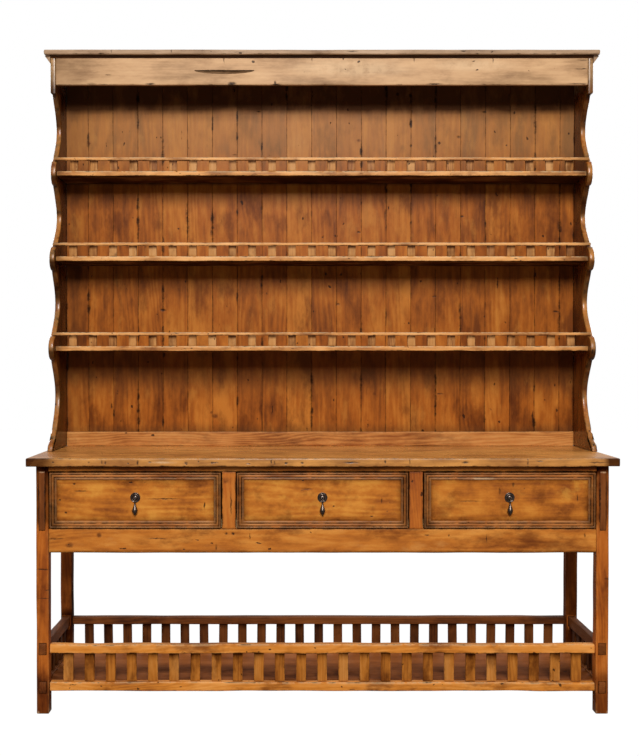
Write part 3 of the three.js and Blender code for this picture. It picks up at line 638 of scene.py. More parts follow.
slat_width = 0.034
slat_thickness = 0.012
slat_end_gap = 0.046
fit_gap = 0.0003
slat_tenon = 0.006
slat_count = 25
side_slat_count = 5
for number, (where, wood, wander, seed, rail_height, dark) in enumerate((
        ("front", gallery_wood, 0.0026, 224, 0.0335, 0.4),
        ("rear", shaded_gallery_wood, 0.0012, 42, 0.030, 0.42))):
    plain_board("lower_rail_" + where, f"gallery_{where}_lower_rail", 0, seed, wood,
                "gallery_wood", ease=0.0032, wander=wander, step=0.02)
    node = f"gallery_{where}_upper_rail"
    low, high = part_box(node)
    rail_low = Vector((low.x, low.y, high.z - rail_height))
    board = worn_board(rail_low, high, 0, 44 + number, ease=0.0032, wander=wander, step=0.02)
    middle = (low.y + high.y) / 2
    slat = standing(slat_width, slat_thickness, rail_low.z + slat_tenon - low.z, 47 + number)
    reach = (high.x - low.x) / 2 - slat_end_gap - slat_width / 2 + fit_gap
    centre = (low.x + high.x) / 2
    mesh = gallery_mesh(node, board, slat, slat_count, (centre - reach, middle, low.z),
                        (2 * reach / (slat_count - 1), 0.0, 0.0), (0.0, 0.012, 0.06),
                        (0.0, math.pi / 2, 0.0), wood, 51 + number, dark)
    fixed(f"gallery_{where}", mesh, "case", "gallery_wood", node)
for number, where in enumerate(("left", "right")):
    node = f"gallery_{where}_lower_rail"
    low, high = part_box(node)
    board = worn_board(low, high, 1, 61 + number, ease=0.0022, wander=0.0008)
    mesh = tenon_ends(wood_mesh(node, board, side_gallery_wood, 61 + number), low.y)
    fixed(f"lower_rail_{where}", mesh, "case", "gallery_wood", node)
    node = f"gallery_{where}_upper_rail"
    low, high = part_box(node)
    rail_low = Vector((low.x, low.y, high.z - tenon_height))
    board = worn_board(rail_low, high, 1, 63 + number, ease=0.0022, wander=0.0008)
    slat = standing(slat_thickness, slat_width, rail_low.z + slat_tenon - low.z, 65 + number)
    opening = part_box("leg_front_" + where)[1].y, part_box("leg_rear_" + where)[0].y
    pitch = (opening[1] - opening[0] + slat_width) / (side_slat_count + 1)
    first = opening[0] - slat_width / 2 + pitch
    # The right side rail takes painted shade.
    mesh = gallery_mesh(node, board, slat, side_slat_count, ((low.x + high.x) / 2, first, low.z),
                        (0.0, pitch, 0.0), (0.012, 0.0, 0.06), (-math.pi / 2, 0.0, 0.0),
                        side_gallery_wood, 67 + number, 0.5,
                        lambda point: 0.35 if where == "right" else 0.0)
    fixed(f"gallery_{where}", tenon_ends(mesh, low.y), "case", "gallery_wood", node)


# Drawers. Each has one wide figured board for its front, framed by an applied moulding of two
# reeds mitred at the corners, with dirt left dark in its grooves. The sides, back and bottom
# are bare softwood.
drawer_face = -0.224
moulding_face = -0.232
drawer_marks = marks_at(
    drawer_face, (-0.842, 0.774, 0.022, 0.003), (-0.555, 0.747, 0.058, 0.0022),
    (-0.895, 0.699, 0.005, 0.004), (-0.415, 0.724, 0.003, 0.012), (-0.060, 0.781, 0.020, 0.002),
    (0.198, 0.741, 0.003, 0.010), (0.202, 0.817, 0.010, 0.004), (0.163, 0.686, 0.006, 0.003),
    (0.502, 0.739, 0.034, 0.003), (0.653, 0.796, 0.005, 0.007), (0.875, 0.751, 0.003, 0.012),
    (0.606, 0.773, 0.004, 0.012))
drawer_wood = fruitwood("figured_waxed_fruitwood", "x", "#86471a", "#b46923", "#cb8434", "#d6983e",
                        ring=0.02, figure=0.5, stain=0.55, wear=0.2, specks=1.2, flow=0.6,
                        roughness=0.36, patches=0.45, marks=drawer_marks)
moulding_wood = fruitwood("dirty_moulding_fruitwood", "x", "#84481c", "#aa6832", "#c08044",
                          "#dcae80", figure=0.3, wear=0.9, grime=0.8, specks=0.8,
                          roughness=0.34,
                          scuffs=marks_at(moulding_face, (0.538, 0.816, 0.056, 0.005)))

# Each point of the moulding's section: how far in from the edge, how far out, and its dirt
reed_profile = (
    (0.0, 0.0, 1.0), (0.0, 0.0058, 1.0), (0.0009, 0.0073, 0.4), (0.0024, 0.0079, -0.7),
    (0.0036, 0.0078, -0.7), (0.0050, 0.0070, 0.0), (0.0058, 0.0055, 0.5), (0.0063, 0.0042, 0.7),
    (0.0071, 0.0042, 0.7), (0.0077, 0.0053, 0.4), (0.0092, 0.0067, 0.0), (0.0118, 0.0072, 0.0),
    (0.0144, 0.0067, 0.0), (0.0154, 0.0054, 0.4), (0.0162, 0.0038, 0.85), (0.0174, 0.0036, 0.85),
    (0.0182, 0.0042, 0.2), (0.0198, 0.0048, -0.5), (0.0222, 0.0048, -0.5), (0.0240, 0.0038, 0.0),
    (0.0252, 0.0018, 0.3), (0.0254, 0.0, 0.5))
reed_width = 0.024
reed_step = 0.022


def field_shade(point, low, high):
    """A drawer's board darkens along the inside of its moulding."""
    inside = min(point.x - low.x, high.x - point.x, point.z - low.z, high.z - point.z) - reed_width
    return 0.62 * (1 - held(inside / 0.028)) ** 2


def mitred_frame(low, high, back, seed):
    """The reeded moulding run round a drawer front, its reeds rubbed unevenly."""
    corners = [(low.x, low.z), (high.x, low.z), (high.x, high.z), (low.x, high.z)]
    inward = [(0, 1), (-1, 0), (0, -1), (1, 0)]
    points, near = [], []
    for number, (in_x, in_z) in enumerate(inward):
        (x0, z0), (x1, z1) = corners[number], corners[(number + 1) % 4]
        before_x, before_z = inward[number - 1]
        steps = round(math.hypot(x1 - x0, z1 - z0) / reed_step)
        for at in range(steps):
            mitre_x, mitre_z = (in_x, in_z) if at else (in_x + before_x, in_z + before_z)
            x, z = x0 + (x1 - x0) * at / steps, z0 + (z1 - z0) * at / steps
            for spot, (inset, stand, dirt) in enumerate(reed_profile):
                rub = noise.noise(Vector((x * 14, z * 14, seed * 3.3 + spot * 0.4)))
                kept = stand * (1.0 - 0.10 * max(0.0, rub))
                points.append([x + mitre_x * inset, back - kept, z + mitre_z * inset])
                near.append(-dirt)
    size = len(reed_profile)
    rings = [range(start, start + size) for start in range(0, len(points), size)]
    return points, lofted(rings, closed=True), near


for number, (where, seed) in enumerate((("left", 177), ("middle", 182), ("right", 184))):
    body = "drawer_" + where
    low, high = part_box(body + "_front")
    board = worn_board(low, high, 0, 71 + number, ease=0.0008, wander=0.0, step=0.05)
    loops = [(axis, edge) for axis in (0, 2) for inside in (0.0, 0.008, 0.018, 0.032)
             for edge in (low[axis] + reed_width + inside, high[axis] - reed_width - inside)]
    mesh = wood_mesh("front", board, drawer_wood, seed,
                     lambda point: field_shade(point, low, high), loops)
    fixed("figured_front_" + where, mesh, body, "drawer_wood", body + "_front")
    low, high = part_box(body + "_moulding")
    frame_board = mitred_frame(low, high, high.y, 75 + number)
    # The upright runs of the moulding are painted with shade, as light from above falls on the
    # level runs.
    mesh = wood_mesh("moulding", frame_board, moulding_wood, 75 + number, lambda point: 0.5 * (
        min(point.x - low.x, high.x - point.x) < reed_width))
    fixed("reeded_moulding_" + where, mesh, body, "drawer_wood", body + "_moulding")
    refinished(body + "_box", inner_wood)
    refinished(body + "_bottom", inner_wood)


# Drawer pulls. A stepped round rosette is cast in bronze with a small fork, and a teardrop
# swings from its pin. Both are blackened, with a dull shine where fingers rub them.
pull_metal, metal_tree = new_material("blackened_cast_bronze")
add = partial(add_node, metal_tree)
cloud = add("TexNoise", {"Vector": add("TexCoord")["Object"], "Scale": 160.0, "Detail": 3.0})["Fac"]
tarnish = add("Mix", {0: cloud, 6: linear("#2b2522"), 7: linear("#6c5e55")}, data_type="RGBA")[2]
add("OutputMaterial", {"Surface": add("BsdfPrincipled", {
    "Base Color": tarnish, "Metallic": 1.0,
    "Roughness": add("MapRange", {"Value": cloud, "To Min": 0.2, "To Max": 0.4})[0],
    "Normal": add("Bump", {"Height": cloud, "Strength": 0.2, "Distance": 0.0004})[0]})[0]})

rosette_profile = (
    (0.0175, 0.0), (0.0175, 0.0012), (0.0170, 0.0021), (0.0160, 0.0024), (0.0148, 0.0021),
    (0.0141, 0.0018), (0.0134, 0.0024), (0.0128, 0.0036), (0.0116, 0.0043), (0.0104, 0.0042),
    (0.0098, 0.0038), (0.0092, 0.0044), (0.0084, 0.0058), (0.0070, 0.0071), (0.0050, 0.0080),
    (0.0028, 0.0085), (0.0, 0.0086))
drop_profile = (
    (0.0, 0.0090), (0.0019, 0.0092), (0.0030, 0.0108), (0.0036, 0.0128), (0.0030, 0.0148),
    (0.0023, 0.0172), (0.0024, 0.0200), (0.0036, 0.0250), (0.0056, 0.0305), (0.0077, 0.0360),
    (0.0091, 0.0405), (0.0095, 0.0435), (0.0092, 0.0465), (0.0080, 0.0498), (0.0062, 0.0528),
    (0.0047, 0.0550), (0.0038, 0.0566), (0.0032, 0.0580), (0.0022, 0.0591), (0.0, 0.0596))
turned_steps = 40
fork_gap = 0.0022
fork_width = 0.0018
cheek_radius = 0.0022
pin_stand = 0.012
pin_half = 0.0052
pin_radius = 0.0012
eye_ring = 0.0029
eye_wire = 0.0011
stem_foot = 0.0115
stem_radius = 0.0017


def turned(profile, place):
    """A lathe-turned form whose points place() puts round the axis."""
    angles = [math.tau * step / turned_steps for step in range(turned_steps)]
    points = [place(radius, along, angle) for angle in angles for radius, along in profile]
    rings = [range(start, start + len(profile)) for start in range(0, len(points), len(profile))]
    faces = [(one[at], other[at], other[at + 1], one[at + 1])
             for one, other in zip(rings, rings[1:] + rings[:1]) for at in range(len(profile) - 1)]
    return points, faces


def cast_mesh(name, forms):
    """Turned and bent forms as one metal mesh, with seams and poles closed."""
    work = bmesh.new()
    for points, faces in forms:
        made = [work.verts.new(point) for point in points]
        for face in faces:
            work.faces.new([made[at] for at in face])
    bmesh.ops.remove_doubles(work, verts=work.verts, dist=weld)
    bmesh.ops.holes_fill(work, edges=work.edges, sides=turned_steps + 2)
    bmesh.ops.recalc_face_normals(work, faces=work.faces)
    mesh = bpy.data.meshes.new(name)
    work.to_mesh(mesh)
    work.free()
    mesh.shade_smooth()
    mesh.set_sharp_from_angle(angle=crease)
    mesh.materials.append(pull_metal)
    return mesh


def bar(way, radius, sides, closed=False):
    """Round metal along a way: each stop is a centre, two directions across it and its size."""
    points = []
    for centre, across, other, grow in way:
        for step in range(sides):
            angle = math.tau * step / sides
            out = across * math.cos(angle) + other * math.sin(angle)
            points.append(centre + out * radius * grow)
    rings = [range(start, start + sides) for start in range(0, len(points), sides)]
    return points, lofted(rings, closed)


def rod(start, end, radius):
    """A straight bar between two points, its ends eased."""
    start, end = Vector(start), Vector(end)
    axis = (end - start).normalized()
    across = axis.orthogonal().normalized()
    ease = axis * radius * 0.3
    return bar([(centre, across, axis.cross(across), grow) for centre, grow in (
        (start, 0.7), (start + ease, 1.0), (end - ease, 1.0), (end, 0.7))], radius, 16)


def eye(centre, ring, wire, steps=28):
    """A ring of round wire that hangs on a pin along x."""
    outward = [Vector((0.0, math.cos(math.tau * step / steps), math.sin(math.tau * step / steps)))
               for step in range(steps)]
    sideways = Vector((1.0, 0.0, 0.0))
    return bar([(Vector(centre) + out * ring, out, sideways, 1.0) for out in outward], wire, 10,
               closed=True)


for where in ("left", "middle", "right"):
    body = "drawer_" + where
    low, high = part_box(body + "_rosette")
    x = (low.x + high.x) / 2
    z = (low.z + high.z) / 2
    back = high.y
    pin_y = back - pin_stand
    cheeks = [rod((x + aside, back - 0.006, z), (x + aside, pin_y - 0.0035, z), cheek_radius)
              for aside in (-fork_gap - fork_width / 2, fork_gap + fork_width / 2)]
    rosette = turned(rosette_profile, lambda radius, along, angle: Vector(
        (x + radius * math.cos(angle), back - along, z + radius * math.sin(angle))))
    pin = rod((x - pin_half, pin_y, z), (x + pin_half, pin_y, z), pin_radius)
    fixed("cast_rosette_" + where, cast_mesh("rosette", [rosette, *cheeks, pin]), body,
          "pull_metal", body + "_rosette")
    stem = rod((x, pin_y, z - eye_ring), (x, pin_y, z - stem_foot), stem_radius)
    pear = turned(drop_profile, lambda radius, along, angle: Vector(
        (x + radius * math.cos(angle), pin_y + radius * math.sin(angle), z - along)))
    hanging = cast_mesh("drop", [eye((x, pin_y, z), eye_ring, eye_wire), stem, pear])
    fixed("teardrop_" + where, hanging, "drop_" + where, "pull_metal", body + "_drop")


# Counter top. One long board that overhangs the base, its front edge planed thin and wavy,
# dotted with worm holes, and its ends darker where the end grain drank the stain.
counter_face = -0.262
counter_marks = marks_at(
    counter_face, (-0.807, 0.878, 0.004, 0.004), (-0.762, 0.878, 0.003, 0.008),
    (-0.750, 0.876, 0.003, 0.006), (-0.672, 0.874, 0.003, 0.003), (-0.640, 0.877, 0.004, 0.009),
    (-0.597, 0.879, 0.006, 0.003), (-0.474, 0.876, 0.007, 0.005), (-0.432, 0.880, 0.003, 0.003),
    (-0.386, 0.876, 0.005, 0.004), (-0.262, 0.873, 0.009, 0.002), (-0.183, 0.880, 0.003, 0.008),
    (-0.172, 0.876, 0.003, 0.007), (-0.078, 0.876, 0.006, 0.004), (0.092, 0.877, 0.028, 0.003),
    (0.206, 0.880, 0.003, 0.006), (0.290, 0.880, 0.002, 0.010), (0.480, 0.877, 0.014, 0.005),
    (0.693, 0.875, 0.003, 0.008), (0.734, 0.882, 0.014, 0.002), (0.934, 0.877, 0.034, 0.003))
counter_wood = fruitwood("polished_fruitwood_top", "x", "#bc7a3a", "#f0a652", "#f8b666", "#f6c488",
                         figure=0.2, stain=0.4, wear=0.6, grime=0.5, specks=1.5, fleck_size=40.0,
                         roughness=0.26, sheen=0.6, marks=counter_marks,
                         scuffs=marks_at(counter_face - 0.006, (-0.553, 0.877, 0.046, 0.004)))
counter_low, counter_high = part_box("counter_top")


def counter_shade(point):
    """Darker end grain, and painted shade on the whole front edge."""
    end = min(point.x - counter_low.x, (counter_high.x - point.x) * 2.2)
    if point.y > counter_low.y + 0.004:
        return 0.0
    return max(0.38, min(1.25, (0.145 - end) / 0.07))


plain_board("waxed_counter_top", "counter_top", 0, 81, counter_wood, "top_wood", ease=0.003,
            wander=(0.0018, 0.0, 0.0018, 0.0), step=0.025, shaded=counter_shade)


# Rack sides. Each is one board sawn to a row of scrolls, with a nose at every shelf and a toe
# on the counter, and its front edge rounded over and rubbed bright. The outline is taken from
# the CAD side, with its curves made smooth between the corners.
block_foot = 2.25
# Above the foot of the square block, a pale colour is painted for the sheen of light there.
scroll_wood = fruitwood("rubbed_scroll_fruitwood", "z", "#5e3010", "#9a561e", "#b8722e", "#d09650",
                        stain=0.8, wear=0.6, grime=0.45, specks=1.6, roughness=0.24,
                        painted_sheen=(block_foot, 0.02, "#b28f66", 0.9), sheen=0.5)
corner_turn = math.radians(38)
curve_step = 0.004
edge_radius = 0.0055


def side_outline(node):
    """The ordered outline of a CAD side in depth and height."""
    work = bmesh.new()
    work.from_mesh(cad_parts[node].data)
    bmesh.ops.remove_doubles(work, verts=work.verts, dist=weld)
    bmesh.ops.dissolve_limit(work, angle_limit=0.01, verts=work.verts, edges=work.edges)
    work.normal_update()
    flat = max([face for face in work.faces if face.normal.x > 0.9],
               key=lambda face: face.calc_area())
    outline = [Vector((vertex.co.y, vertex.co.z)) for vertex in flat.verts]
    work.free()
    return outline


def smoothed(outline):
    """The outline with a smooth curve between its corners."""
    size = len(outline)
    ways = [(outline[(at + 1) % size] - here).normalized() for at, here in enumerate(outline)]
    curve = []
    for at, here in enumerate(outline):
        after = outline[(at + 1) % size]
        before_way, way, after_way = ways[at - 1], ways[at], ways[(at + 1) % size]
        length = (after - here).length
        start = way if before_way.angle(way) > corner_turn else (before_way + way).normalized()
        end = way if way.angle(after_way) > corner_turn else (way + after_way).normalized()
        straight = start.angle(way) + end.angle(way) < 0.02
        pieces = 1 if straight else max(1, round(length / curve_step))
        for piece in range(pieces):
            t = piece / pieces
            curve.append(here * (2 * t ** 3 - 3 * t ** 2 + 1) + after * (3 * t ** 2 - 2 * t ** 3)
                         + start * length * (t ** 3 - 2 * t ** 2 + t)
                         + end * length * (t ** 3 - t ** 2))
    return curve


def drawn_in(outline, distance, clockwise):
    """The outline moved in from its edge."""
    size = len(outline)
    moved = []
    for at, here in enumerate(outline):
        before = (here - outline[at - 1]).normalized()
        after = (outline[(at + 1) % size] - here).normalized()
        square = Vector((-before.y - after.y, before.x + after.x)) * clockwise
        moved.append(here + square * distance / max(1.2, 1 + before.dot(after)))
    return moved


def scrolled_side(outline, x0, x1, inner, inner_shade):
    """The sawn board, its edges rounded from both faces, and how dark each point is.

    Shade is painted by which way the edge faces: what faces down is painted dark and what
    faces up is left bright, as far as the square block at the top. The inner face and the
    outer arris are painted with shade too.
    """
    area = sum(a.x * b.y - b.x * a.y for a, b in zip(outline, outline[1:] + outline[:1]))
    clockwise = 1 if area > 0 else -1
    layers = [(x0, edge_radius + 0.0012, 0.0)]
    for angle in (0, 22, 45, 67, 90):
        turn = math.radians(angle)
        layers.append((x0 + edge_radius * (1 - math.cos(turn)),
                       edge_radius * (1 - math.sin(turn)), 1.0))
    layers += [(x1 + x0 - x, inset, near) for x, inset, near in reversed(layers)]
    points, near_edge, rings, dark = [], [], [], []
    inward = drawn_in(outline, 1.0, clockwise)
    for x, inset, near in layers:
        rings.append(range(len(points), len(points) + len(outline)))
        across = abs(x - inner)
        for spot, edge, inside in zip(drawn_in(outline, inset, clockwise), outline, inward):
            points.append([x, spot.x, spot.y])
            near_edge.append(near)
            rising = (edge - inside).normalized().y
            block = spot.y > block_foot
            facing = 0.05 if block else min(0.85, max(0.05, 0.33 - 2.4 * rising))
            arris = 0.0 if across < x1 - x0 - 0.002 else 0.3 if block else 0.7
            dark.append(inner_shade if across < 0.001 else max(facing, arris))
    return (points, lofted(rings), near_edge), dark


# Their inner faces are painted with shade.
for number, (side, inner_shade) in enumerate((("left", 0.82), ("right", 0.6))):
    node = "rack_side_" + side
    low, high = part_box(node)
    inner = high.x if side == "left" else low.x
    board, dark = scrolled_side(smoothed(side_outline(node)), low.x, high.x, inner, inner_shade)
    mesh = wood_mesh(node, board, scroll_wood, 91 + number)
    store(mesh, "shade", dark)
    fixed("scrolled_side_" + side, mesh, "case", "rack_wood", node)


# Shelves and their galleries. Three long shelves are housed in the sides, and each carries a
# thin rail on a row of small pale blocks with upright grain. All the front edges are rubbed
# wavy and lighter than the flats, worn and with a painted highlight; the undersides, the
# blocks and the ends near the sides are painted with shade.
shelf_wood = fruitwood("rubbed_shelf_fruitwood", "x", "#965b2f", "#d19151", "#e0a466", "#f6d8aa",
                       stain=0.7, wear=0.9, grime=0.5, specks=1.7, fleck_size=60.0,
                       roughness=0.38)
block_count = 26
block_width = 0.029
block_thickness = 0.012
block_end_gap = 0.050
block_tenon = 0.003
gallery_rail_height = 0.0115
rail_end = max(abs(edge.x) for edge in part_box("rack_side_left")) - 0.0095


def end_shade(point):
    """Painted shade near the sides."""
    return 0.6 * held((abs(point.x) - 0.945) / 0.035)


for number, (which, seed) in enumerate((("lower", 63), ("middle", 105), ("upper", 106))):
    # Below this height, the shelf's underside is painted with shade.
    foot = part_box("shelf_" + which)[0].z + 0.0025
    plain_board("housed_shelf_" + which, "shelf_" + which, 0, 101 + number, shelf_wood, "rack_wood",
                ease=0.003, wander=(0.0018, 0.0, 0.0018, 0.0004), step=0.022, pace=9.0,
                shaded=lambda point: 1.0 if point.z < foot else end_shade(point))
    node = "shelf_gallery_" + which
    low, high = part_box(node)
    rail_low = Vector((-rail_end, low.y, high.z - gallery_rail_height))
    rail_high = Vector((rail_end, high.y, high.z))
    rail = worn_board(rail_low, rail_high, 0, seed, ease=0.0024, wander=0.0008, step=0.022,
                      pace=9.0)
    block = standing(block_width, block_thickness, rail_low.z + block_tenon - low.z, 107 + number,
                     wander=0.0003, step=0.008, rubbed=-0.7)
    reach = (high.x - low.x) / 2 - block_end_gap - block_width / 2 + fit_gap
    mesh = gallery_mesh(node, rail, block, block_count, (-reach, (low.y + high.y) / 2, low.z),
                        (2 * reach / (block_count - 1), 0.0, 0.0), (0.0, 0.02, 0.05),
                        (0.0, math.pi / 2, 0.0), shelf_wood, seed + 7, 0.36, end_shade)
    fixed("shelf_rail_" + which, mesh, "case", "gallery_wood", node)


# Back. Twenty-one upright planks are set edge to edge behind the shelves, each of its own
# tone, with open joints that have filled with black dirt, and a low rail along the foot.
# Shade is painted under each shelf and at the left end, and light on the middle planks.
plank_face = 0.259
plank_knots = marks_at(
    plank_face, (-0.413, 1.008, 0.014, 0.009), (-0.425, 1.022, 0.006, 0.006),
    (-0.902, 2.073, 0.007, 0.007), (-0.613, 2.056, 0.006, 0.006), (0.456, 1.869, 0.005, 0.005),
    (0.213, 1.095, 0.007, 0.007), (0.151, 2.083, 0.009, 0.007))
plank_marks = marks_at(
    plank_face, (-0.615, 0.985, 0.005, 0.022), (-0.614, 1.423, 0.013, 0.005),
    (-0.816, 1.047, 0.004, 0.012), (-0.334, 2.027, 0.010, 0.003), (-0.240, 2.196, 0.010, 0.003),
    (0.253, 1.793, 0.005, 0.016), (0.152, 1.727, 0.007, 0.004), (0.554, 1.789, 0.007, 0.004),
    (0.070, 1.446, 0.007, 0.005), (0.922, 1.417, 0.012, 0.004), (0.546, 1.429, 0.006, 0.022),
    (0.447, 1.476, 0.010, 0.003), (0.639, 2.194, 0.009, 0.004), (0.352, 2.146, 0.006, 0.010),
    (0.541, 2.097, 0.009, 0.005), (0.354, 2.063, 0.005, 0.006), (0.468, 1.096, 0.016, 0.003))
# High up, a pale colour is painted for the sheen of light on the top bay.
plank_wood = fruitwood("planked_back_fruitwood", "z", "#6c3712", "#9a541a", "#b26c28", "#bc7c34",
                       ring=0.02, figure=0.45, wear=0.0, grime=0.6, specks=1.0,
                       roughness=0.36, sheen=0.06, patches=0.4, painted_sheen=(1.99, 0.08, "#a07646", 0.42),
                       marks=plank_marks, knots=plank_knots, shade_paint=("#50301a", "MIX"))
first_plank = 0.0852
plank_pitch = 0.0968
joint_half = 0.0009
joint_depth = 0.0028
filled_gape = 1.35
row_step = 0.011

# Painted shade in the bays, under the fascia or shelf above, top to bottom: how dark, how far down
# it reaches and how fast it thins
bay_painted_shade = ((1.0, 0.066, 0.022), (0.1, 0.075, 0.02), (0.0, 0.035, 0.02), (0.65, 0.19, 0.09))
rail_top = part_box("back_rail")[1].z


def planked_back(low, high):
    """A panel of planks: its front face has a worn groove at each joint."""
    edges = [low.x, low.x + first_plank]
    while edges[-1] + plank_pitch < high.x - 0.02:
        edges.append(edges[-1] + plank_pitch)
    edges.append(high.x)
    columns = []
    for plank, (left, right) in enumerate(zip(edges, edges[1:])):
        columns += [(left, offset, near, plank)
                    for offset, near in ((0.0, 1.0), (0.5, 1.0), (1.0, 0.75), (5.0, 0.0))]
        columns.append(((left + right) / 2, 0.0, 0.0, plank))
        columns += [(right, offset, near, plank)
                    for offset, near in ((-5.0, 0.0), (-1.0, 0.75), (-0.5, 1.0))]
    columns.append((high.x, 0.0, 1.0, len(edges) - 2))
    width = len(columns)
    rows = round((high.z - low.z) / row_step)
    undersides = [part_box(node)[0].z
                  for node in ("fascia", "shelf_upper", "shelf_middle", "shelf_lower")]
    points, near_joint, shades = [], [], []
    for row in range(rows + 1):
        z = low.z + (high.z - low.z) * row / rows
        under = min([shelf - z for shelf in undersides if shelf > z - 0.02] or [0.0])
        depth, reach, thins = bay_painted_shade[max(1, sum(shelf > z for shelf in undersides)) - 1]
        for base, offset, near, plank in columns:
            joint = round((base - low.x - first_plank) / plank_pitch) if offset else plank
            gape = 1.0 + 3.0 * max(0.0, noise.noise(Vector((z * 8, joint * 4.7, 0.3))) - 0.15)
            sway = 0.0006 * noise.noise(Vector((z * 6, joint * 2.9, 7.7)))
            x = base + (offset * joint_half * gape + sway if offset else 0.0)
            sunk = joint_depth * (float(near == 1.0) if not offset else 0.7 * (abs(offset) == 0.5))
            proud = 0.0006 * (1 + chance(plank, 5)) / 2 + 0.0004 * noise.noise(
                Vector((z * 2.5, plank * 3.3, 2.2)))
            points.append([min(max(x, low.x), high.x), low.y + 0.0005 + (sunk or proud), z])
            near_joint.append(-near if gape > filled_gape else -0.4 * near)
            fade = 0.012 * noise.noise(Vector((x * 9, 1.3, row * 0.01)))
            # Painted shade under the shelf above and at the left end; dust above the foot rail;
            # dirt in the wide joints.
            shade_paint = held((reach + fade - max(0.0, under)) / thins)
            dust = held((rail_top + 0.035 + fade - z) / 0.03)
            painted_left_end_shade = held((0.09 + 3 * fade - x + low.x) / 0.05)
            shades.append(max(depth * shade_paint, 0.45 * dust, 0.32 * painted_left_end_shade,
                              float(sunk > 0.0 and gape > filled_gape)))
    for z in (low.z, high.z):
        for base, offset, near, plank in columns:
            sunk = joint_depth if not offset and near == 1.0 and low.x < base < high.x else 0.0
            points.append([base + offset * joint_half, high.y - sunk, z])
            near_joint.append(-near)
            shades.append(0.0)
    faces = [(start, start + 1, start + width + 1, start + width)
             for row in range(rows) for start in range(row * width, row * width + width - 1)]
    bottom = (rows + 1) * width
    top = bottom + width
    for at in range(width - 1):
        upper = rows * width + at
        faces += [(at, bottom + at, bottom + at + 1, at + 1),
                  (upper, upper + 1, top + at + 1, top + at),
                  (bottom + at, bottom + at + 1, top + at + 1, top + at)]
    for side, last in ((0, (top, bottom)), (width - 1, (top + width - 1, bottom + width - 1))):
        faces.append((*[row * width + side for row in range(rows + 1)], *last))
    shifts, tones_and_painted_light = [], []
    for face in faces:
        plank = columns[face[0] % width][3]
        middle = (edges[plank] + edges[plank + 1]) / 2
        shifts += [chance(plank, 1) * 9, chance(plank, 2) * 0.05 - low.y,
                   middle + chance(plank, 3) * 0.06]
        # Each plank has its own tone, and the middle planks are painted lighter, a painted pool of
        # light.
        tones_and_painted_light.append(1.1 * chance(plank, 4) + max(-0.5, 1.0 - abs(middle - 0.1) / 0.5))
    return points, faces, near_joint, shifts, tones_and_painted_light, shades


low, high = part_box("back_boards")
points, faces, near_joint, shifts, tones_and_painted_light, shades = planked_back(low, high)
mesh = wood_mesh("back_boards", (points, faces, near_joint), plank_wood, 121)
store(mesh, "board", shifts, "FLOAT_VECTOR")
store(mesh, "tone", tones_and_painted_light)
store(mesh, "shade", shades)
sawn_wood = fruitwood("rough_sawn_fruitwood", "z", "#5c3416", "#84522a", "#9a6636", "#a4723e",
                      ring=0.02, figure=0.6, stain=0.3, wear=0.0, grime=0.9, specks=0.8,
                      roughness=0.7)
mesh.materials.append(sawn_wood)
for face in mesh.polygons:
    face.material_index = int(face.normal.y > 0.5)
fixed("planked_back", mesh, "case", "back_wood", "back_boards")
rail_wood = fruitwood("waxed_fruitwood_foot_rail", "x", "#84481c", "#b27238", "#c2874a", "#d8a468",
                      figure=0.7, wear=0.4, grime=0.3, specks=0.7, roughness=0.4)
plain_board("foot_rail", "back_rail", 0, 125, rail_wood, "rack_wood", ease=0.0025, wander=0.0012,
            step=0.025)


# Fascia. A wide pale board hangs under the cornice between the blocks of the sides, with its
# lower edge nicked and a long open shake in its face. Light is painted pale on its middle,
# and shade on its left end and in the hollow of the shake.
shake_place = (-0.363, 2.304)
shake_size = (0.113, 0.008, 0.013)
fascia_face = 0.076
fascia_marks = marks_at(
    fascia_face, (-0.362, 2.303, 0.104, 0.0026), (0.967, 2.342, 0.020, 0.002),
    (0.966, 2.309, 0.024, 0.0025), (0.953, 2.255, 0.040, 0.002), (-0.364, 2.345, 0.002, 0.014),
    (-0.037, 2.345, 0.002, 0.010), (0.079, 2.348, 0.004, 0.006), (0.343, 2.345, 0.002, 0.010),
    (0.636, 2.344, 0.002, 0.012), (-0.855, 2.254, 0.018, 0.004), (-0.639, 2.254, 0.018, 0.004),
    (-0.334, 2.255, 0.016, 0.007), (-0.174, 2.256, 0.004, 0.010), (-0.170, 2.252, 0.022, 0.003),
    (-0.795, 2.287, 0.012, 0.002), (0.420, 2.254, 0.030, 0.003))
fascia_painted_light = marks_at(fascia_face, (0.100, 2.312, 0.240, 0.034), (0.560, 2.322, 0.160, 0.022))
fascia_wood = fruitwood("pale_waxed_fruitwood", "x", "#96724e", "#c0966c", "#cfa67a", "#d8b288",
                        ring=0.03, figure=0.25, stain=0.35, wear=0.2, grime=0.35,
                        marks=fascia_marks, scuffs=fascia_painted_light)
low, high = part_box("fascia")
board = worn_board(low, high, 0, 131, ease=0.0022, wander=0.0012, step=0.02)
shake = waste((shake_place[0], low.y + 0.001, shake_place[1]), shake_size, ball=True)
for vertex in shake.data.vertices:
    vertex.co.z = min(vertex.co.z, shake_place[1] + 0.001)
mesh = wood_mesh("fascia", board, fascia_wood, 131,
                 lambda point: min(0.32, max(0.0, -0.76 - point.x) * 1.6))
mesh = cut_away(mesh, [shake], 131)
# The hollow of the shake is painted with shade.
for vertex, value in zip(mesh.vertices, mesh.attributes["shade"].data):
    if 0.0022 < vertex.co.y - low.y < 0.012 and abs(vertex.co.x - shake_place[0]) < shake_size[0]:
        value.value = 0.8
fixed("pale_fascia", mesh, "case", "cornice_wood", "fascia")


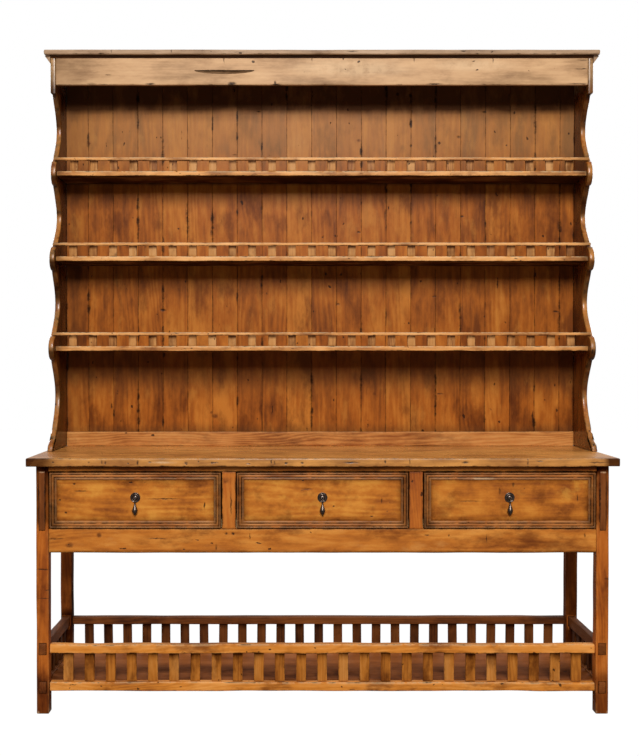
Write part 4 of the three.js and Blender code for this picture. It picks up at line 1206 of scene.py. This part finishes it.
# Cornice. A thin top board overhangs the fascia on a small cove, and a splayed return runs
# back along each side. The board's front edge is rounded over and nicked.
cornice_face = 0.058
cornice_marks = marks_at(
    cornice_face, (-0.779, 2.370, 0.002, 0.008), (-0.558, 2.370, 0.002, 0.008),
    (-0.303, 2.366, 0.040, 0.002), (0.114, 2.368, 0.020, 0.0025), (0.524, 2.370, 0.012, 0.003))
cornice_wood = fruitwood("grey_waxed_fruitwood", "x", "#7c5f46", "#a48466", "#b8987a", "#c6aa8a",
                         figure=0.3, grime=0.3, specks=0.8, marks=cornice_marks)
return_wood = fruitwood("grey_waxed_fruitwood_return", "y", "#7c5f46", "#a48466", "#b8987a",
                        "#c6aa8a", figure=0.3, specks=0.6)
plain_board("cornice_board", "rack_top_board", 0, 141, cornice_wood, "cornice_wood", ease=0.0042,
            wander=0.001, step=0.025)
# The cove is dark with dirt and with the painted shadow of the top board.
cove_wood = fruitwood("dirt_and_painted_shadow_cove", "x", "#241003", "#321804", "#402208", "#5a3818",
                      stain=0.3, wear=0.1)
refinished("cornice_cove", cove_wood)
refinished("cornice_return_left", return_wood)
refinished("cornice_return_right", return_wood)


# Floor. A plain pale studio floor, which the camera sees as white paper with a faint shadow.
floor_reach = 14.0
floor_mesh = bpy.data.meshes.new("floor")
floor_mesh.from_pydata(
    [(-floor_reach, -floor_reach, 0.0), (floor_reach, -floor_reach, 0.0),
     (floor_reach, floor_reach, 0.0), (-floor_reach, floor_reach, 0.0)], [], [(0, 1, 2, 3)])
floor = shown("studio_floor", floor_mesh)
paper, paper_tree = new_material("matt_white_paper")
add = partial(add_node, paper_tree)
share = add("Math", {0: add("LightPath")["Is Camera Ray"], 1: 0.93}, operation="MULTIPLY")[0]
matt = add("BsdfDiffuse", {"Color": linear("#9c9894")})[0]
glow = add("Emission", {"Color": (1, 1, 1, 1), "Strength": 1.09})[0]
add("OutputMaterial", {"Surface": add("MixShader", {0: share, 1: matt, 2: glow})[0]})
floor_mesh.materials.append(paper)


# Light. One broad softbox stands above and in front, as in a furniture studio, over a weak
# even fill, with two dim boxes behind that light the sides and back alone.
world = bpy.data.worlds.new("studio")
bpy.context.scene.world = world
world.use_nodes = True
world.node_tree.nodes.clear()
add = partial(add_node, world.node_tree)
path = add("LightPath")
seen = add("Math", {0: path["Is Camera Ray"], 1: path["Is Transmission Ray"]},
           operation="MAXIMUM")[0]
seen = add("Math", {0: path["Is Glossy Ray"], 1: 0.4, 2: seen}, operation="MULTIPLY_ADD")[0]
strength = add("MapRange", {"Value": seen, "To Min": 0.045, "To Max": 1.0})[0]
add("OutputWorld", {"Surface": add("Background", {"Color": (1, 1, 1, 1), "Strength": strength})[0]})


def softbox(name, place, aim, width, height, power):
    """A rectangular studio light that faces a point."""
    data = bpy.data.lights.new(name, "AREA")
    data.shape = "RECTANGLE"
    data.size = width
    data.size_y = height
    data.energy = power
    light = bpy.data.objects.new(name, data)
    light.location = place
    light.rotation_euler = (Vector(aim) - Vector(place)).to_track_quat("-Z", "Y").to_euler()
    bpy.context.scene.collection.objects.link(light)


softbox("front_softbox", (0.05, -6.5, 4.4), (0.0, 0.0, 1.3), 2.7, 2.5, 580.0)
softbox("left_back_softbox", (-4.2, 3.4, 3.0), (0.0, 0.2, 1.2), 2.2, 2.2, 150.0)
softbox("right_back_softbox", (4.2, 3.4, 3.0), (0.0, 0.2, 1.2), 2.2, 2.2, 150.0)
bpy.context.scene.view_settings.view_transform = "Standard"
